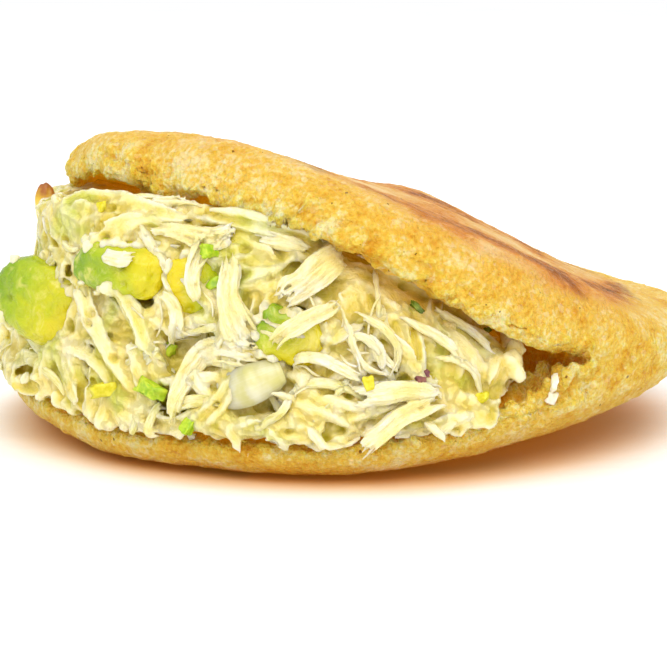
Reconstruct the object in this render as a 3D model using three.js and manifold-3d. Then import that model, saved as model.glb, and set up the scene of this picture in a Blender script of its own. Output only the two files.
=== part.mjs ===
// A griddled corn cake split open like a pocket and stuffed with a creamy chicken and avocado salad.
// Millimetres, +Z up. The cake's own frame has its origin on the table under the middle of the round;
// +X runs towards the right of the mouth and -Y out of its front. The group at the end is moved so
// that the whole stands with the middle of its box on the origin.
import * as THREE from "three";
import Module from "manifold-3d";
import { mergeVertices } from "three/addons/utils/BufferGeometryUtils.js";

const wasm = await Module();
wasm.setup();

const DEGREE = Math.PI / 180;

// The round cake
const CAKE_RADIUS = 57.5; // at the cut, its widest place
const LOWER_THICKNESS = 8;
const UPPER_THICKNESS = 8.2;
const TAIL_THINNING = 3.6; // how much thinner the cake is at its closed side
const MOUTH_THINNING = 2; // and the flap over the mouth
const TOP_FLAT_RADIUS = 47; // of the griddled top face
const BASE_FLAT_RADIUS = 40; // of the face it stands on
const TOP_CROWN = 1.6; // how far the middle of the top face stands above its edge
const TAIL_RISE = 8; // how far the closed side curls up off the table
const TAIL_FROM = -4; // where, along X, it starts to curl
const MOUTH_RISE = 3; // the same for the far end of the mouth
const MOUTH_FROM = -34;
// The cake isn't a true circle. Waves round it: how many, how high as a share of the radius, and phase.
const OUTLINE_WAVES = [
  [1, 0.012, -0.2],
  [2, 0.008, 0.9],
  [3, 0.006, -0.4],
  [7, 0.004, -1.57],
  [11, 0.003, 0],
];

// The cut and the flap that it frees
const OPENING_ANGLE = -172 * DEGREE; // the way the mouth faces, from +X
const CUT_END = -35; // the knife stopped on this line, along the opening direction
const SEAM_OVERLAP = 0.6; // how far the two halves run into each other where they are still one
const HINGE_AT = -58; // where the flap starts to bend up
// The flap's line from the hinge to the mouth: length and turn of each stretch, one arc after another.
const FLAP_LINE = [
  [14, 14 * DEGREE],
  [26, 19.5 * DEGREE],
  [34, -1.5 * DEGREE],
  [18, -13 * DEGREE],
  [34, -24 * DEGREE],
];
// The flap leans back from the front of the mouth: its far side lies lower than its near one.
const LEAN = 0.19; // rise per millimetre towards the front
const LEAN_FROM = 17; // where, along X, the lean starts
const LEAN_FULL = -26; // and where it is all there
const LEAN_KEEPS = -50; // the line along Y whose height the lean leaves as it is
// Where the lip of the flap hangs lower and where crumbs are torn out: degrees round, spread, depth.
const LIP_SAGS = [
  [-141, 8, 3.1],
  [-105, 7, 1.2],
  [-95, 42, 1.7],
  [-64, 12, 1.6],
  [70, 14, 1.6],
  [165, 12, 1.2],
];
const LIP_TEARS = [
  [-124, 6, 1.9],
  [140, 10, 1.5],
];
const LIP_DEPTH = [30, 52]; // over these radii the inside of the flap turns into its lip
const LOWER_DISH = 1.5; // how far the lower cut face is hollowed under the salad
const LOWER_LIP = 0.5; // and its rim worn down
const LOWER_TEAR = 4; // how far the lower cut face climbs towards the hinge, where the cake tore
const TEAR_ENDS = [-26, -6]; // between these lines, along the opening, it comes down again

// The salad that fills the pocket
const SALAD_CENTRE = new THREE.Vector2(-8, -3);
const SALAD_END = 24; // how far past the middle it reaches towards the hinge
const SALAD_CORNER = 5; // how squarely its sides turn into that end
const SALAD_RECESS = 4.5; // how far its top edge stays under the flap's line
const SALAD_FLOOR = -3; // the hidden bottom and top run into the cake and are trimmed to it
const SALAD_CEILING = 1.5;
const SALAD_INNER = -6;
const SALAD_LUMPS = [
  [5, 1, 1],
  [9, 0.7, -2],
  [14, 0.5, 3],
];
const LUMP_HEIGHT = 0.5;
// Its side from the bottom edge to the top: how far out it stands from the rim, and how high as a share.
const SALAD_SIDE = [
  [-3, -0.02],
  [1.2, -0.02],
  [1.4, 0.05],
  [0.8, 0.2],
  [0, 0.38],
  [-1, 0.56],
  [-2.5, 0.74],
  [-5, 0.9],
  [-8, 1],
];
const LEFT_CORNER = [-138, 26, 0.5]; // where its top stands back less: degrees, spread, share

// The pieces large enough to pick out of the salad: size along the mouth, inwards and up;
// degrees round the cake, distance from its middle and height; and tilt.
const PIECES = {
  avocado_outer: [[15, 12, 13.5], [-151, 55.5, 24.3], 24],
  avocado_upper: [[15, 9, 8], [-126, 53.5, 31.3], 10],
  avocado_inner: [[5, 6, 7.5], [-115, 54, 29.5], -8],
  avocado_middle: [[10.5, 8, 8.5], [-99, 54.5, 22.8], 20],
  onion_piece: [[9, 3.5, 6], [-102, 58.2, 14.2], 10],
  chicken_chunk: [[8, 5.5, 7], [-94.5, 54.5, 32.2], 35],
  chicken_shred_middle: [[9.5, 4.5, 7], [-114.5, 57, 20], -12],
  chicken_shred_low: [[18, 4, 6], [-83, 59.8, 11.4], -20],
};
const PIECE_SQUARENESS = 0.62; // 1 gives a ball, less a blunter block
const PIECE_UNEVEN = 0.06;
const PIECE_COLOURS = { avocado: 0xc9cf3a, onion: 0xe4dca0, chicken: 0xf5e9b4 };

// Clearances
const GAP = 0.35; // between the pieces that touch
const UNCOVERED = 10; // how far outwards the salad is kept off the larger pieces

// Facets
const CUT_RINGS = 7;
const RIM_STEPS = 6;
const FACE_RINGS = 5;
const AROUND = 60;
const SALAD_AROUND = 54;
const PIECE_FACETS = [12, 9];

const opening = new THREE.Vector2(Math.cos(OPENING_ANGLE), Math.sin(OPENING_ANGLE));
const smooth = (low, high, x) => THREE.MathUtils.smoothstep(x, low, high);
const bump = ([centre, width, height], x) => height * Math.exp(-(((x - centre) / width) ** 2));
const total = (rows, height) => rows.reduce((sum, row) => sum + height(row), 0);
const towardsOpening = (x, y) => x * opening.x + y * opening.y;
const acrossOpening = (x, y) => y * opening.x - x * opening.y;
const roundness = (a) => 1 + total(OUTLINE_WAVES, ([n, high, phase]) => high * Math.cos(n * a + phase));

// How far the closed side, and a little of the mouth's far end, curl up off the table.
function curl(x) {
  const tail = Math.max(0, (x - TAIL_FROM) / (CAKE_RADIUS - TAIL_FROM));
  const mouth = Math.max(0, (MOUTH_FROM - x) / (CAKE_RADIUS + MOUTH_FROM));
  return TAIL_RISE * tail ** 1.4 + MOUTH_RISE * mouth ** 1.5;
}

// How much lower the lean sets a place of the flap.
const leanDrop = (x, y) => LEAN * (y - LEAN_KEEPS) * (1 - smooth(LEAN_FULL, LEAN_FROM, x));

// A point of the flap at rest, s along the opening and h above the cut, after the flap has bent up.
function bent(s, h) {
  let left = s - HINGE_AT;
  let along = Math.min(s, HINGE_AT);
  let up = 0;
  let angle = 0;
  for (const [length, turn] of FLAP_LINE) {
    const run = Math.min(Math.max(left, 0), length);
    const turned = (turn * run) / length;
    const chord = (2 * length * Math.sin(turned / 2)) / turn;
    along += chord * Math.cos(angle + turned / 2);
    up += chord * Math.sin(angle + turned / 2);
    angle += turned;
    left -= length;
  }
  return { s: along - h * Math.sin(angle), h: up + h * Math.cos(angle) };
}

// One half of the cake, as a lathe profile from the axis along the cut, round the rim and back to the axis.
function halfProfile(flatRadius, thickness) {
  const points = [];
  for (let i = 0; i < CUT_RINGS; i++) points.push([(CAKE_RADIUS * i) / CUT_RINGS, 0]);
  for (let i = 0; i <= RIM_STEPS; i++) {
    const a = ((i / RIM_STEPS) * Math.PI) / 2;
    const reach = Math.max(0, Math.cos(a)) ** 0.75;
    const climb = Math.sin(a) ** 0.75;
    points.push([flatRadius + (CAKE_RADIUS - flatRadius) * reach, thickness * climb]);
  }
  for (let i = 1; i <= FACE_RINGS; i++) points.push([flatRadius * (1 - i / FACE_RINGS), thickness]);
  return points.map(([r, z]) => new THREE.Vector2(r, z));
}

// Turns a profile round Z.
const turned = (profile, around) => new THREE.LatheGeometry(profile, around).rotateX(Math.PI / 2);

// Turns a geometry into a closed solid.
function solid(geometry) {
  geometry.deleteAttribute("normal");
  geometry.deleteAttribute("uv");
  const merged = mergeVertices(geometry, 1e-3);
  return new wasm.Manifold(
    new wasm.Mesh({
      numProp: 3,
      vertProperties: merged.attributes.position.array,
      triVerts: new Uint32Array(merged.index.array),
    }),
  );
}

// Moves each point of a geometry by a function of its place.
function reshape(geometry, move) {
  const places = geometry.attributes.position;
  const p = new THREE.Vector3();
  for (let i = 0; i < places.count; i++) {
    p.fromBufferAttribute(places, i);
    move(p);
    places.setXYZ(i, p.x, p.y, p.z);
  }
  return geometry;
}

// Widens a point of a true circle to the cake's uneven outline and to a clearance.
function widen(p, grow) {
  const r = Math.hypot(p.x, p.y);
  const wide = roundness(Math.atan2(p.y, p.x)) * (1 + grow / CAKE_RADIUS);
  p.x *= wide;
  p.y *= wide;
  return r;
}

// The heights of the two cut faces above the cut plane, at a place in plan, before the flap bends.
function flapUnderside(x, y) {
  const a = Math.atan2(y, x) / DEGREE;
  const lip = smooth(...LIP_DEPTH, Math.hypot(x, y));
  return lip * (total(LIP_TEARS, (row) => bump(row, a)) - total(LIP_SAGS, (row) => bump(row, a)));
}
function lowerCutFace(x, y) {
  const s = towardsOpening(x, y);
  const lip = smooth(40, 57, Math.hypot(x, y));
  const cut = smooth(CUT_END - 1, CUT_END + 3, s);
  const torn = LOWER_TEAR * (1 - smooth(...TEAR_ENDS, s));
  const open = torn - LOWER_DISH * smooth(CUT_END, 0, s) - LOWER_LIP * smooth(0, 30, s) * lip;
  return (bent(s, 0).h + SEAM_OVERLAP) * (1 - cut) + open * cut;
}

// The flap, grown on every side by a clearance.
function upperHalf(grow) {
  const flap = turned(halfProfile(TOP_FLAT_RADIUS, UPPER_THICKNESS), AROUND);
  return solid(
    reshape(flap, (p) => {
      const share = p.z / UPPER_THICKNESS;
      const r = widen(p, grow);
      const s = towardsOpening(p.x, p.y);
      const t = acrossOpening(p.x, p.y);
      const under = flapUnderside(p.x, p.y) - grow;
      const crown = TOP_CROWN * (1 - (r / CAKE_RADIUS) ** 2);
      const thinned = TAIL_THINNING * (1 - smooth(-56, -22, s)) + MOUTH_THINNING * smooth(-10, 24, s);
      const top = UPPER_THICKNESS + crown - thinned + grow;
      const at = bent(s, under + (top - under) * share);
      p.x = at.s * opening.x - t * opening.y;
      p.y = at.s * opening.y + t * opening.x;
      p.z = LOWER_THICKNESS + at.h + curl(p.x) - leanDrop(p.x, p.y);
    }),
  );
}

// The half that lies on the table, grown on every side by a clearance.
function lowerHalf(grow) {
  const profile = halfProfile(BASE_FLAT_RADIUS, LOWER_THICKNESS).map((v) => new THREE.Vector2(v.x, -v.y));
  return solid(
    reshape(turned(profile.reverse(), AROUND), (p) => {
      const share = -p.z / LOWER_THICKNESS;
      widen(p, grow);
      const face = lowerCutFace(p.x, p.y) + grow;
      const base = -LOWER_THICKNESS - grow;
      p.z = LOWER_THICKNESS + face + (base - face) * share + curl(p.x);
    }),
  );
}

// The height of the flap's underside over a place in plan, found by walking back along the bend.
function flapLine(x, y) {
  const target = towardsOpening(x, y);
  let s = target;
  for (let i = 0; i < 12; i++) s += target - bent(s, 0).s;
  return LOWER_THICKNESS + bent(s, 0).h + curl(x) - leanDrop(x, y);
}

// How far the salad reaches at an angle round the cake: to the rim, or to its end short of the hinge.
function saladReach(a) {
  const back = -Math.cos(a - OPENING_ANGLE);
  const chord = back > 0.05 ? SALAD_END / back : 500;
  return (chord ** -SALAD_CORNER + CAKE_RADIUS ** -SALAD_CORNER) ** (-1 / SALAD_CORNER);
}

// The salad: it stands back under the flap's lip and bulges out a little over the lower one.
// Each height of the lathe is one row of the side, and the ends are a floor and a ceiling.
function saladHeap() {
  const last = SALAD_SIDE.length + 1;
  const side = SALAD_SIDE.map((_, i) => [CAKE_RADIUS, i + 1]);
  const profile = [[0, 0], [20, 0], [40, 0], ...side, [40, last], [20, last], [0, last]];
  const heap = turned(profile.map(([r, z]) => new THREE.Vector2(r, z)), SALAD_AROUND);
  return solid(
    reshape(heap, (p) => {
      const a = Math.atan2(p.y, p.x);
      const row = Math.round(p.z);
      const inwards = 1 - Math.min(1, Math.hypot(p.x, p.y) / CAKE_RADIUS);
      const [out, height] = SALAD_SIDE[row - 1] ?? [SALAD_INNER, 0];
      const corner = row > 1 && out < 0 ? 1 - bump(LEFT_CORNER, a / DEGREE) : 1;
      const lumps = LUMP_HEIGHT * total(SALAD_LUMPS, ([n, high, k]) => high * Math.sin(n * a + k * row));
      const reach = (saladReach(a) + out * corner + lumps) * (1 - inwards);
      p.x = reach * Math.cos(a) + SALAD_CENTRE.x * inwards;
      p.y = reach * Math.sin(a) + SALAD_CENTRE.y * inwards;
      const low = LOWER_THICKNESS + curl(p.x);
      const high = flapLine(p.x, p.y);
      if (row === 0) p.z = low + SALAD_FLOOR;
      else if (row === last) p.z = high + SALAD_CEILING;
      else p.z = low + (high - SALAD_RECESS - low) * height;
    }),
  );
}

// A piece in the salad: a rounded block, its corners knocked about, its front turned outwards.
function block([wide, deep, tall], [angle, radius, height], tilt, seed, grow) {
  const ball = new THREE.SphereGeometry(1, ...PIECE_FACETS);
  const square = (v) => Math.sign(v) * Math.abs(v) ** PIECE_SQUARENESS;
  reshape(ball, (p) => {
    const knocked = Math.sin(3 * p.x + seed) + Math.cos(4 * p.y - 2 * seed + 2 * p.z);
    const uneven = 1 + PIECE_UNEVEN * knocked;
    p.set(
      square(p.x) * (wide / 2 + grow) * uneven,
      square(p.y) * (deep / 2 + grow) * uneven,
      square(p.z) * (tall / 2 + grow) * uneven,
    );
  });
  ball.rotateY(tilt * DEGREE).rotateZ((angle + 90) * DEGREE);
  ball.translate(radius * Math.cos(angle * DEGREE), radius * Math.sin(angle * DEGREE), height);
  return solid(ball);
}

// What the salad leaves free for a piece: its own room and the way out to the open air.
function uncovered(room, angle) {
  const out = [UNCOVERED * Math.cos(angle * DEGREE), UNCOVERED * Math.sin(angle * DEGREE), 0];
  return wasm.Manifold.hull([room, room.translate(out)]);
}

const cake = upperHalf(0).add(lowerHalf(0));
const pieces = Object.entries(PIECES).map(([name, [size, place, tilt]], i) => ({
  name,
  piece: block(size, place, tilt, i, 0),
  room: uncovered(block(size, place, tilt, i, GAP), place[0]),
}));
let salad = saladHeap().subtract(upperHalf(GAP)).subtract(lowerHalf(GAP));
for (const { room } of pieces) salad = salad.subtract(room);
// Slivers that the cuts leave beside the heap are dropped.
salad = salad.decompose().sort((a, b) => b.volume() - a.volume())[0];

function meshOf(name, body, look) {
  const { vertProperties, triVerts } = body.getMesh();
  const geometry = new THREE.BufferGeometry();
  geometry.setAttribute("position", new THREE.BufferAttribute(new Float32Array(vertProperties), 3));
  geometry.setIndex(new THREE.BufferAttribute(new Uint32Array(triVerts), 1));
  geometry.computeVertexNormals();
  const mesh = new THREE.Mesh(geometry, new THREE.MeshStandardMaterial({ metalness: 0, ...look }));
  mesh.name = name;
  return mesh;
}

const group = new THREE.Group();
group.add(meshOf("corn_cake", cake, { color: 0xf2c75c, roughness: 0.75 }));
group.add(meshOf("chicken_salad", salad, { color: 0xeee3a6, roughness: 0.5 }));
for (const { name, piece } of pieces) {
  const color = PIECE_COLOURS[name.split("_")[0]];
  group.add(meshOf(name, piece, { color, roughness: 0.45 }));
}
const box = new THREE.Box3().setFromObject(group);
const middle = box.getCenter(new THREE.Vector3());
group.position.set(-middle.x, -middle.y, -box.min.z);
export default group;
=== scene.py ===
"""A griddled corn cake split open like a pocket, stuffed with a creamy chicken and avocado salad."""

import math

import bmesh
import bpy
import numpy as np
from mathutils import Euler, Matrix, Vector, noise
from mathutils.bvhtree import BVHTree
from mathutils.kdtree import KDTree


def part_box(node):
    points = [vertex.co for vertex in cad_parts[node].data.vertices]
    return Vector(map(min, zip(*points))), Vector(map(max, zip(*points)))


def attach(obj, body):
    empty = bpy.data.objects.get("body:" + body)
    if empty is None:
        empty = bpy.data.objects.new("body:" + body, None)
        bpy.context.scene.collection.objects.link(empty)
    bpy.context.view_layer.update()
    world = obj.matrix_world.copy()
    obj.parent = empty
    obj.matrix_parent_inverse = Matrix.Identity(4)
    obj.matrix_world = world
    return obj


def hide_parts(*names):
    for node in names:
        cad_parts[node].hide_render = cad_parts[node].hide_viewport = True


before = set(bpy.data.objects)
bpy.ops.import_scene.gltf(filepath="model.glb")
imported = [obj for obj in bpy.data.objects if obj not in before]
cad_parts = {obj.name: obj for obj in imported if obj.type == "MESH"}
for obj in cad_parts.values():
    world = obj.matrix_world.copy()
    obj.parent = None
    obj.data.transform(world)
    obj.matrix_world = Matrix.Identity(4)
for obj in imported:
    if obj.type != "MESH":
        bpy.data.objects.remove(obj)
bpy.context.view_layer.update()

MM = 0.001
TRIANGLES = 190000  # the most that one piece keeps
WELD = 1e-7  # metres: corners closer than this are one

# ---------------------------------------------------------------- the cake's own sizes, in mm
CAKE_RADIUS = 57.5
LOWER_THICKNESS = 8.0
UPPER_THICKNESS = 8.2
RIGHT_REACH = 59.0  # how far the cake reaches to the right of the middle of the round
FRONT_REACH = 57.4  # and to the front
TAIL_RISE, TAIL_FROM = 8.0, -4.0
MOUTH_RISE, MOUTH_FROM = 3.0, -34.0
OPENING_ANGLE = math.radians(-172)
CUT_END = -35.0
HINGE_AT = -58.0
FLAP_LINE = [(14, 14), (26, 19.5), (34, -1.5), (18, -13), (34, -24)]  # length and turn in degrees
UNBENDING_STEPS, UNBENDING_PACE = 18, 0.9
LEAN, LEAN_FROM, LEAN_FULL, LEAN_KEEPS = 0.19, 17.0, -26.0, -50.0

cake_low, cake_high = (Vector(corner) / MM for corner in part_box("corn_cake"))
CAKE_MIDDLE = Vector((cake_high.x - RIGHT_REACH, cake_low.y + FRONT_REACH, 0))

# ---------------------------------------------------------------- the front view, in mm
VIEW_AIM = CAKE_MIDDLE + Vector((-2.0, 0.0, 13.7))
VIEW_DISTANCE = 450.0
VIEW_RISE = math.radians(10)
VIEW_BACK = Vector((0, -math.cos(VIEW_RISE), math.sin(VIEW_RISE)))
VIEW_UP = Vector((0, math.sin(VIEW_RISE), math.cos(VIEW_RISE)))
VIEW_RIGHT = Vector((1, 0, 0))
EYE = VIEW_AIM + VIEW_BACK * VIEW_DISTANCE


# ---------------------------------------------------------------- small tools
def linear(colour):
    """An sRGB hex colour as linear red, green, blue and alpha."""
    parts = [int(colour[i : i + 2], 16) / 255 for i in (1, 3, 5)]
    return (*[c / 12.92 if c <= 0.04045 else ((c + 0.055) / 1.055) ** 2.4 for c in parts], 1.0)


def add(tree, kind, inputs=(), stops=None, **settings):
    """Adds a node. A kind with no "Node" in its name is a shader node, and its operation may follow it.

    The inputs are given by name or in order. Each is a value, a colour that starts with #, a socket to link,
    or a node, whose first socket is linked.
    """
    kind, *operation = kind.split()
    made = tree.nodes.new(kind if "Node" in kind else "ShaderNode" + kind)
    if operation:
        made.operation = operation[0]
    for name, value in settings.items():
        setattr(made, name, value)
    if stops:
        points = made.color_ramp.elements
        while len(points) < len(stops):
            points.new(0.5)
        for point, (place, colour) in zip(points, stops):
            point.position = place
            point.color = linear(colour)
    for name, value in inputs.items() if isinstance(inputs, dict) else enumerate(inputs):
        if isinstance(value, bpy.types.Node):
            value = next(socket for socket in value.outputs if socket.enabled)
        elif isinstance(value, str) and value[:1] == "#":
            value = linear(value)
        if isinstance(value, bpy.types.NodeSocket):
            tree.links.new(value, made.inputs[name])
        else:
            made.inputs[name].default_value = value
    return made


def smooth(low, high, x):
    """0 below low, 1 above high, and a smooth step between."""
    share = np.clip((x - low) / (high - low), 0, 1)
    return share * share * (3 - 2 * share)


def rows_of(mesh, what):
    """One row of three for each point of a mesh: its place in metres, or the way that it faces."""
    flat = np.empty(len(mesh.vertices) * 3)
    mesh.vertices.foreach_get(what, flat)
    return flat.reshape(-1, 3)


def places_of(mesh):
    """A mesh's points, in mm."""
    return rows_of(mesh, "co") / MM


def normals_of(mesh):
    return rows_of(mesh, "normal")


def place_all(mesh, places):
    """Moves a mesh's points to new places in mm."""
    mesh.vertices.foreach_set("co", (places * MM).ravel())
    mesh.update()


def keep(mesh, name, values, kind="FLOAT"):
    """Stores one value, or one vector, for each point of a mesh."""
    layer = mesh.attributes.new(name, kind, "POINT")
    layer.data.foreach_set("vector" if kind == "FLOAT_VECTOR" else "value", np.ravel(values))


def piece(name, mesh):
    made = bpy.data.objects.new(name, mesh)
    bpy.context.scene.collection.objects.link(made)
    return made


def joined(name, meshes, weld=0):
    """One mesh out of several. A weld in metres first joins loose triangles into one closed skin."""
    skin = bmesh.new()
    for mesh in meshes:
        skin.from_mesh(mesh)
    if weld:
        bmesh.ops.remove_doubles(skin, verts=skin.verts, dist=weld)
        bmesh.ops.recalc_face_normals(skin, faces=skin.faces)
    whole = bpy.data.meshes.new(name)
    skin.to_mesh(whole)
    skin.free()
    return whole


def merged_copy(node):
    """A closed copy of a CAD node's mesh."""
    return joined(node, [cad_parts[node].data], WELD)


def settle(made):
    """Turns a piece with its modifiers into a plain mesh."""
    ready = made.evaluated_get(bpy.context.evaluated_depsgraph_get())
    mesh = bpy.data.meshes.new_from_object(ready)
    old = made.data
    made.modifiers.clear()
    made.data = mesh
    bpy.data.meshes.remove(old)
    return made


def melted(made, voxel, rounds):
    """Runs a piece's overlapping parts together into one skin of even small faces, and rounds it."""
    remesh = made.modifiers.new("one skin", "REMESH")
    remesh.mode, remesh.voxel_size = "VOXEL", voxel * MM
    rounded = made.modifiers.new("rounded", "SMOOTH")
    rounded.factor, rounded.iterations = 0.5, rounds
    return settle(made)


def triangles_in(made):
    return sum(len(face.vertices) - 2 for face in made.data.polygons)


def thinned(made):
    """Takes the smallest faces away until a piece has few enough triangles."""
    if triangles_in(made) > TRIANGLES:
        fewer = made.modifiers.new("fewer faces", "DECIMATE")
        fewer.ratio = TRIANGLES / triangles_in(made)
        settle(made)
    made.data.shade_smooth()
    return made


def with_tree(made, tree, sizes):
    """Runs a Geometry Nodes tree on a piece, with its named inputs set, and settles the result."""
    modifier = made.modifiers.new(tree.name, "NODES")
    modifier.node_group = tree
    for item in tree.interface.items_tree:
        if item.item_type == "SOCKET" and item.in_out == "INPUT" and item.name in sizes:
            modifier[item.identifier] = sizes[item.name]
    return settle(made)


SOCKETS = {float: "NodeSocketFloat", int: "NodeSocketInt"}


def new_tree(name, inputs):
    """A Geometry Nodes tree with named inputs, and with a material as its last one."""
    tree = bpy.data.node_groups.new(name, "GeometryNodeTree")
    tree.interface.new_socket("Geometry", in_out="INPUT", socket_type="NodeSocketGeometry")
    tree.interface.new_socket("Geometry", in_out="OUTPUT", socket_type="NodeSocketGeometry")
    for label, value in inputs.items():
        socket = tree.interface.new_socket(label, in_out="INPUT", socket_type=SOCKETS[type(value)])
        socket.default_value = value
    tree.interface.new_socket("Material", in_out="INPUT", socket_type="NodeSocketMaterial")
    return tree, tree.nodes.new("NodeGroupInput").outputs


def end_tree(tree, given, geometry):
    """Ends a tree: what is repeated becomes real faces, and everything takes the material."""
    real = add(tree, "GeometryNodeRealizeInstances", [geometry])
    dressed = add(tree, "GeometryNodeSetMaterial", {"Geometry": real, "Material": given["Material"]})
    tree.links.new(dressed.outputs[0], tree.nodes.new("NodeGroupOutput").inputs[0])


def finished(made, slot, *nodes):
    """Finishes a piece: hides the CAD nodes it stands for, sets it under the root that carries it, and prints
    its triangles. The slot, what it is made of, is not used.
    """
    if nodes:
        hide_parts(*nodes)
    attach(made, "root")
    print(made.name, triangles_in(made), "triangles")
    return made


# ---------------------------------------------------------------- the bend, walked backwards
def curl(x):
    """How far the cake curls up off the table at each place along X."""
    tail = np.maximum(0, (x - TAIL_FROM) / (CAKE_RADIUS - TAIL_FROM))
    mouth = np.maximum(0, (MOUTH_FROM - x) / (CAKE_RADIUS + MOUTH_FROM))
    return TAIL_RISE * tail**1.4 + MOUTH_RISE * mouth**1.5


def bend(s, h):
    """Where a point of the flat flap goes: along the opening, and up."""
    left = s - HINGE_AT
    along = np.minimum(s, HINGE_AT)
    up = np.zeros_like(s)
    angle = np.zeros_like(s)
    for length, turn in FLAP_LINE:
        turn = math.radians(turn)
        run = np.clip(left, 0, length)
        turned = turn * run / length
        chord = 2 * length * np.sin(turned / 2) / turn
        along = along + chord * np.cos(angle + turned / 2)
        up = up + chord * np.sin(angle + turned / 2)
        angle = angle + turned
        left = left - length
    return along - h * np.sin(angle), up + h * np.cos(angle)


def unbent(places):
    """Where points of the cake lay in the flat round: x, y and the height above the cut, in mm."""
    x, y, z = (places - np.array(CAKE_MIDDLE)).T
    ox, oy = math.cos(OPENING_ANGLE), math.sin(OPENING_ANGLE)
    along, across = x * ox + y * oy, y * ox - x * oy
    height = z - LOWER_THICKNESS - curl(x)
    lean = LEAN * (y - LEAN_KEEPS) * (1 - smooth(LEAN_FULL, LEAN_FROM, x))
    s, h = along.copy(), np.full_like(along, UPPER_THICKNESS / 2)
    for _ in range(UNBENDING_STEPS):
        at_s, at_h = bend(s, h)
        s = s + UNBENDING_PACE * (along - at_s)
        h = h + UNBENDING_PACE * (height + lean - at_h)
    gap = np.maximum(0, bend(along, np.zeros_like(along))[1] - lean)
    upper = height > gap / 2
    flat_s, flat_h = np.where(upper, s, along), np.where(upper, h, height)
    flat = np.stack([flat_s * ox - across * oy, flat_s * oy + across * ox, flat_h], axis=1)
    return flat, flat_s


# ---------------------------------------------------------------- what lies in front of what
AVOCADO = ["avocado_outer", "avocado_upper", "avocado_inner", "avocado_middle"]
SHREDS = ["chicken_chunk", "chicken_shred_middle", "chicken_shred_low"]


def surface_of(meshes, change=None):
    """The skin of some meshes, in mm, to drop things on."""
    points, faces = [], []
    for mesh in meshes:
        places = places_of(mesh)
        start = len(points)
        points += (change(places) if change else places).tolist()
        faces += [[start + corner for corner in face.vertices] for face in mesh.polygons]
    return BVHTree.FromPolygons(points, faces)


# How far the filling reaches in the front view: mm right at each height, and mm up at each place across.
LEFT_EDGE = [(-12, -53), (-8, -55.5), (-2, -56.5), (3, -56), (6, -54), (10.5, -51), (13, -48.5),
             (15, -47.5), (17, -49), (30, -49)]
TOP_EDGE = [(-50, 21.4), (-44, 22.4), (-31, 22.6), (-22.5, 22), (-14, 19.8), (-5.5, 17.6), (3, 14.4),
            (11.5, 9.8), (18, 6.5), (28, 3)]
TUCKED_DEPTH = (42.0, 60.0)  # how far behind the front the tucking starts to fade, and ends
TUCKED_SHARE = 0.9  # of the way to the edge


def in_view(places):
    """Where places in mm are seen from the front: mm right, mm up, and how near they are."""
    away = places - np.array(EYE)
    zoom = VIEW_DISTANCE / (away @ -np.array(VIEW_BACK))
    return (away @ np.array(VIEW_RIGHT)) * zoom, (away @ np.array(VIEW_UP)) * zoom, zoom


def tucked(places):
    """Draws the filling in at its left and top, to the edges above. Places are in mm."""
    right, up, zoom = in_view(places)
    edge = np.interp(up, *np.array(LEFT_EDGE).T)
    top = np.interp(right, *np.array(TOP_EDGE).T)
    fade = 1 - smooth(*TUCKED_DEPTH, places[:, 1] - cake_low.y)
    sideways = TUCKED_SHARE * np.maximum(0, edge - right) / zoom
    down = TUCKED_SHARE * np.maximum(0, up - top) / zoom * fade
    return places + sideways[:, None] * np.array(VIEW_RIGHT) - down[:, None] * np.array((0, 0, 1.0))


cad = {name: node.data for name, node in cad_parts.items()}
heap = surface_of([cad["chicken_salad"], cad["onion_piece"]] + [cad[name] for name in AVOCADO], tucked)
dough = surface_of([cad["corn_cake"]])


def sight(right, up):
    """The line of sight through a place given as mm right of, and mm above, the middle of the front view."""
    return (VIEW_AIM + VIEW_RIGHT * right + VIEW_UP * up - EYE).normalized()


def eased(places, steps):
    """A smooth curve through a few rows of numbers, as evenly spaced rows."""
    rows = np.array(places, dtype=float)
    rows = np.vstack([2 * rows[0] - rows[1], rows, 2 * rows[-1] - rows[-2]])
    spans = len(rows) - 3
    curve = []
    for t in np.linspace(0, spans, steps):
        i = min(int(t), spans - 1)
        f = t - i
        a, b, c, d = rows[i : i + 4]
        square, cube = 2 * a - 5 * b + 4 * c - d, 3 * b - a - 3 * c + d
        curve.append(0.5 * (2 * b + (c - a) * f + square * f**2 + cube * f**3))
    return np.array(curve)


EVENED = 7  # points of a line whose depth is averaged


def over_front(path, steps=26):
    """A line over the front of the filling. Each place is mm right, mm up, mm proud of it and half-width."""
    rows = eased(path, steps)
    ways = [sight(right, up) for right, up, _, _ in rows]
    reach = np.array([heap.ray_cast(EYE, way)[3] or np.nan for way in ways])
    held = np.flatnonzero(~np.isnan(reach))
    reach = np.interp(np.arange(steps), held, reach[held])
    padded = np.pad(reach, EVENED // 2, mode="edge")
    reach = np.convolve(padded, np.ones(EVENED) / EVENED, mode="valid")
    points = [EYE + way * (far - proud) for way, far, proud in zip(ways, reach, rows[:, 2])]
    return {"points": points, "ups": [-way for way in ways], "wide": np.maximum(rows[:, 3], 0.1)}


def along_heap(spot, heading, length, turn, proud, ends, wide, steps=14):
    """A line that creeps over the filling, proud of it in its middle and sunk or lifted at its two ends."""
    place, out = spot
    way = heading
    points, ups = [], []
    for i in range(steps):
        t = 2 * i / (steps - 1) - 1
        rise = proud + (ends[i * 2 // steps] - proud) * abs(t) ** 2.2
        points.append(place + out * rise)
        ups.append(out)
        way = (Matrix.Rotation(turn, 3, out) @ (way - out * way.dot(out))).normalized()
        place, facing, *_ = heap.find_nearest(place + way * length / steps)
        out = (out * 1.5 + facing).normalized()
    share = np.linspace(-1, 1, steps)
    return {"points": points, "ups": ups, "wide": wide * (1 - 0.4 * np.abs(share) ** 3)}


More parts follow.
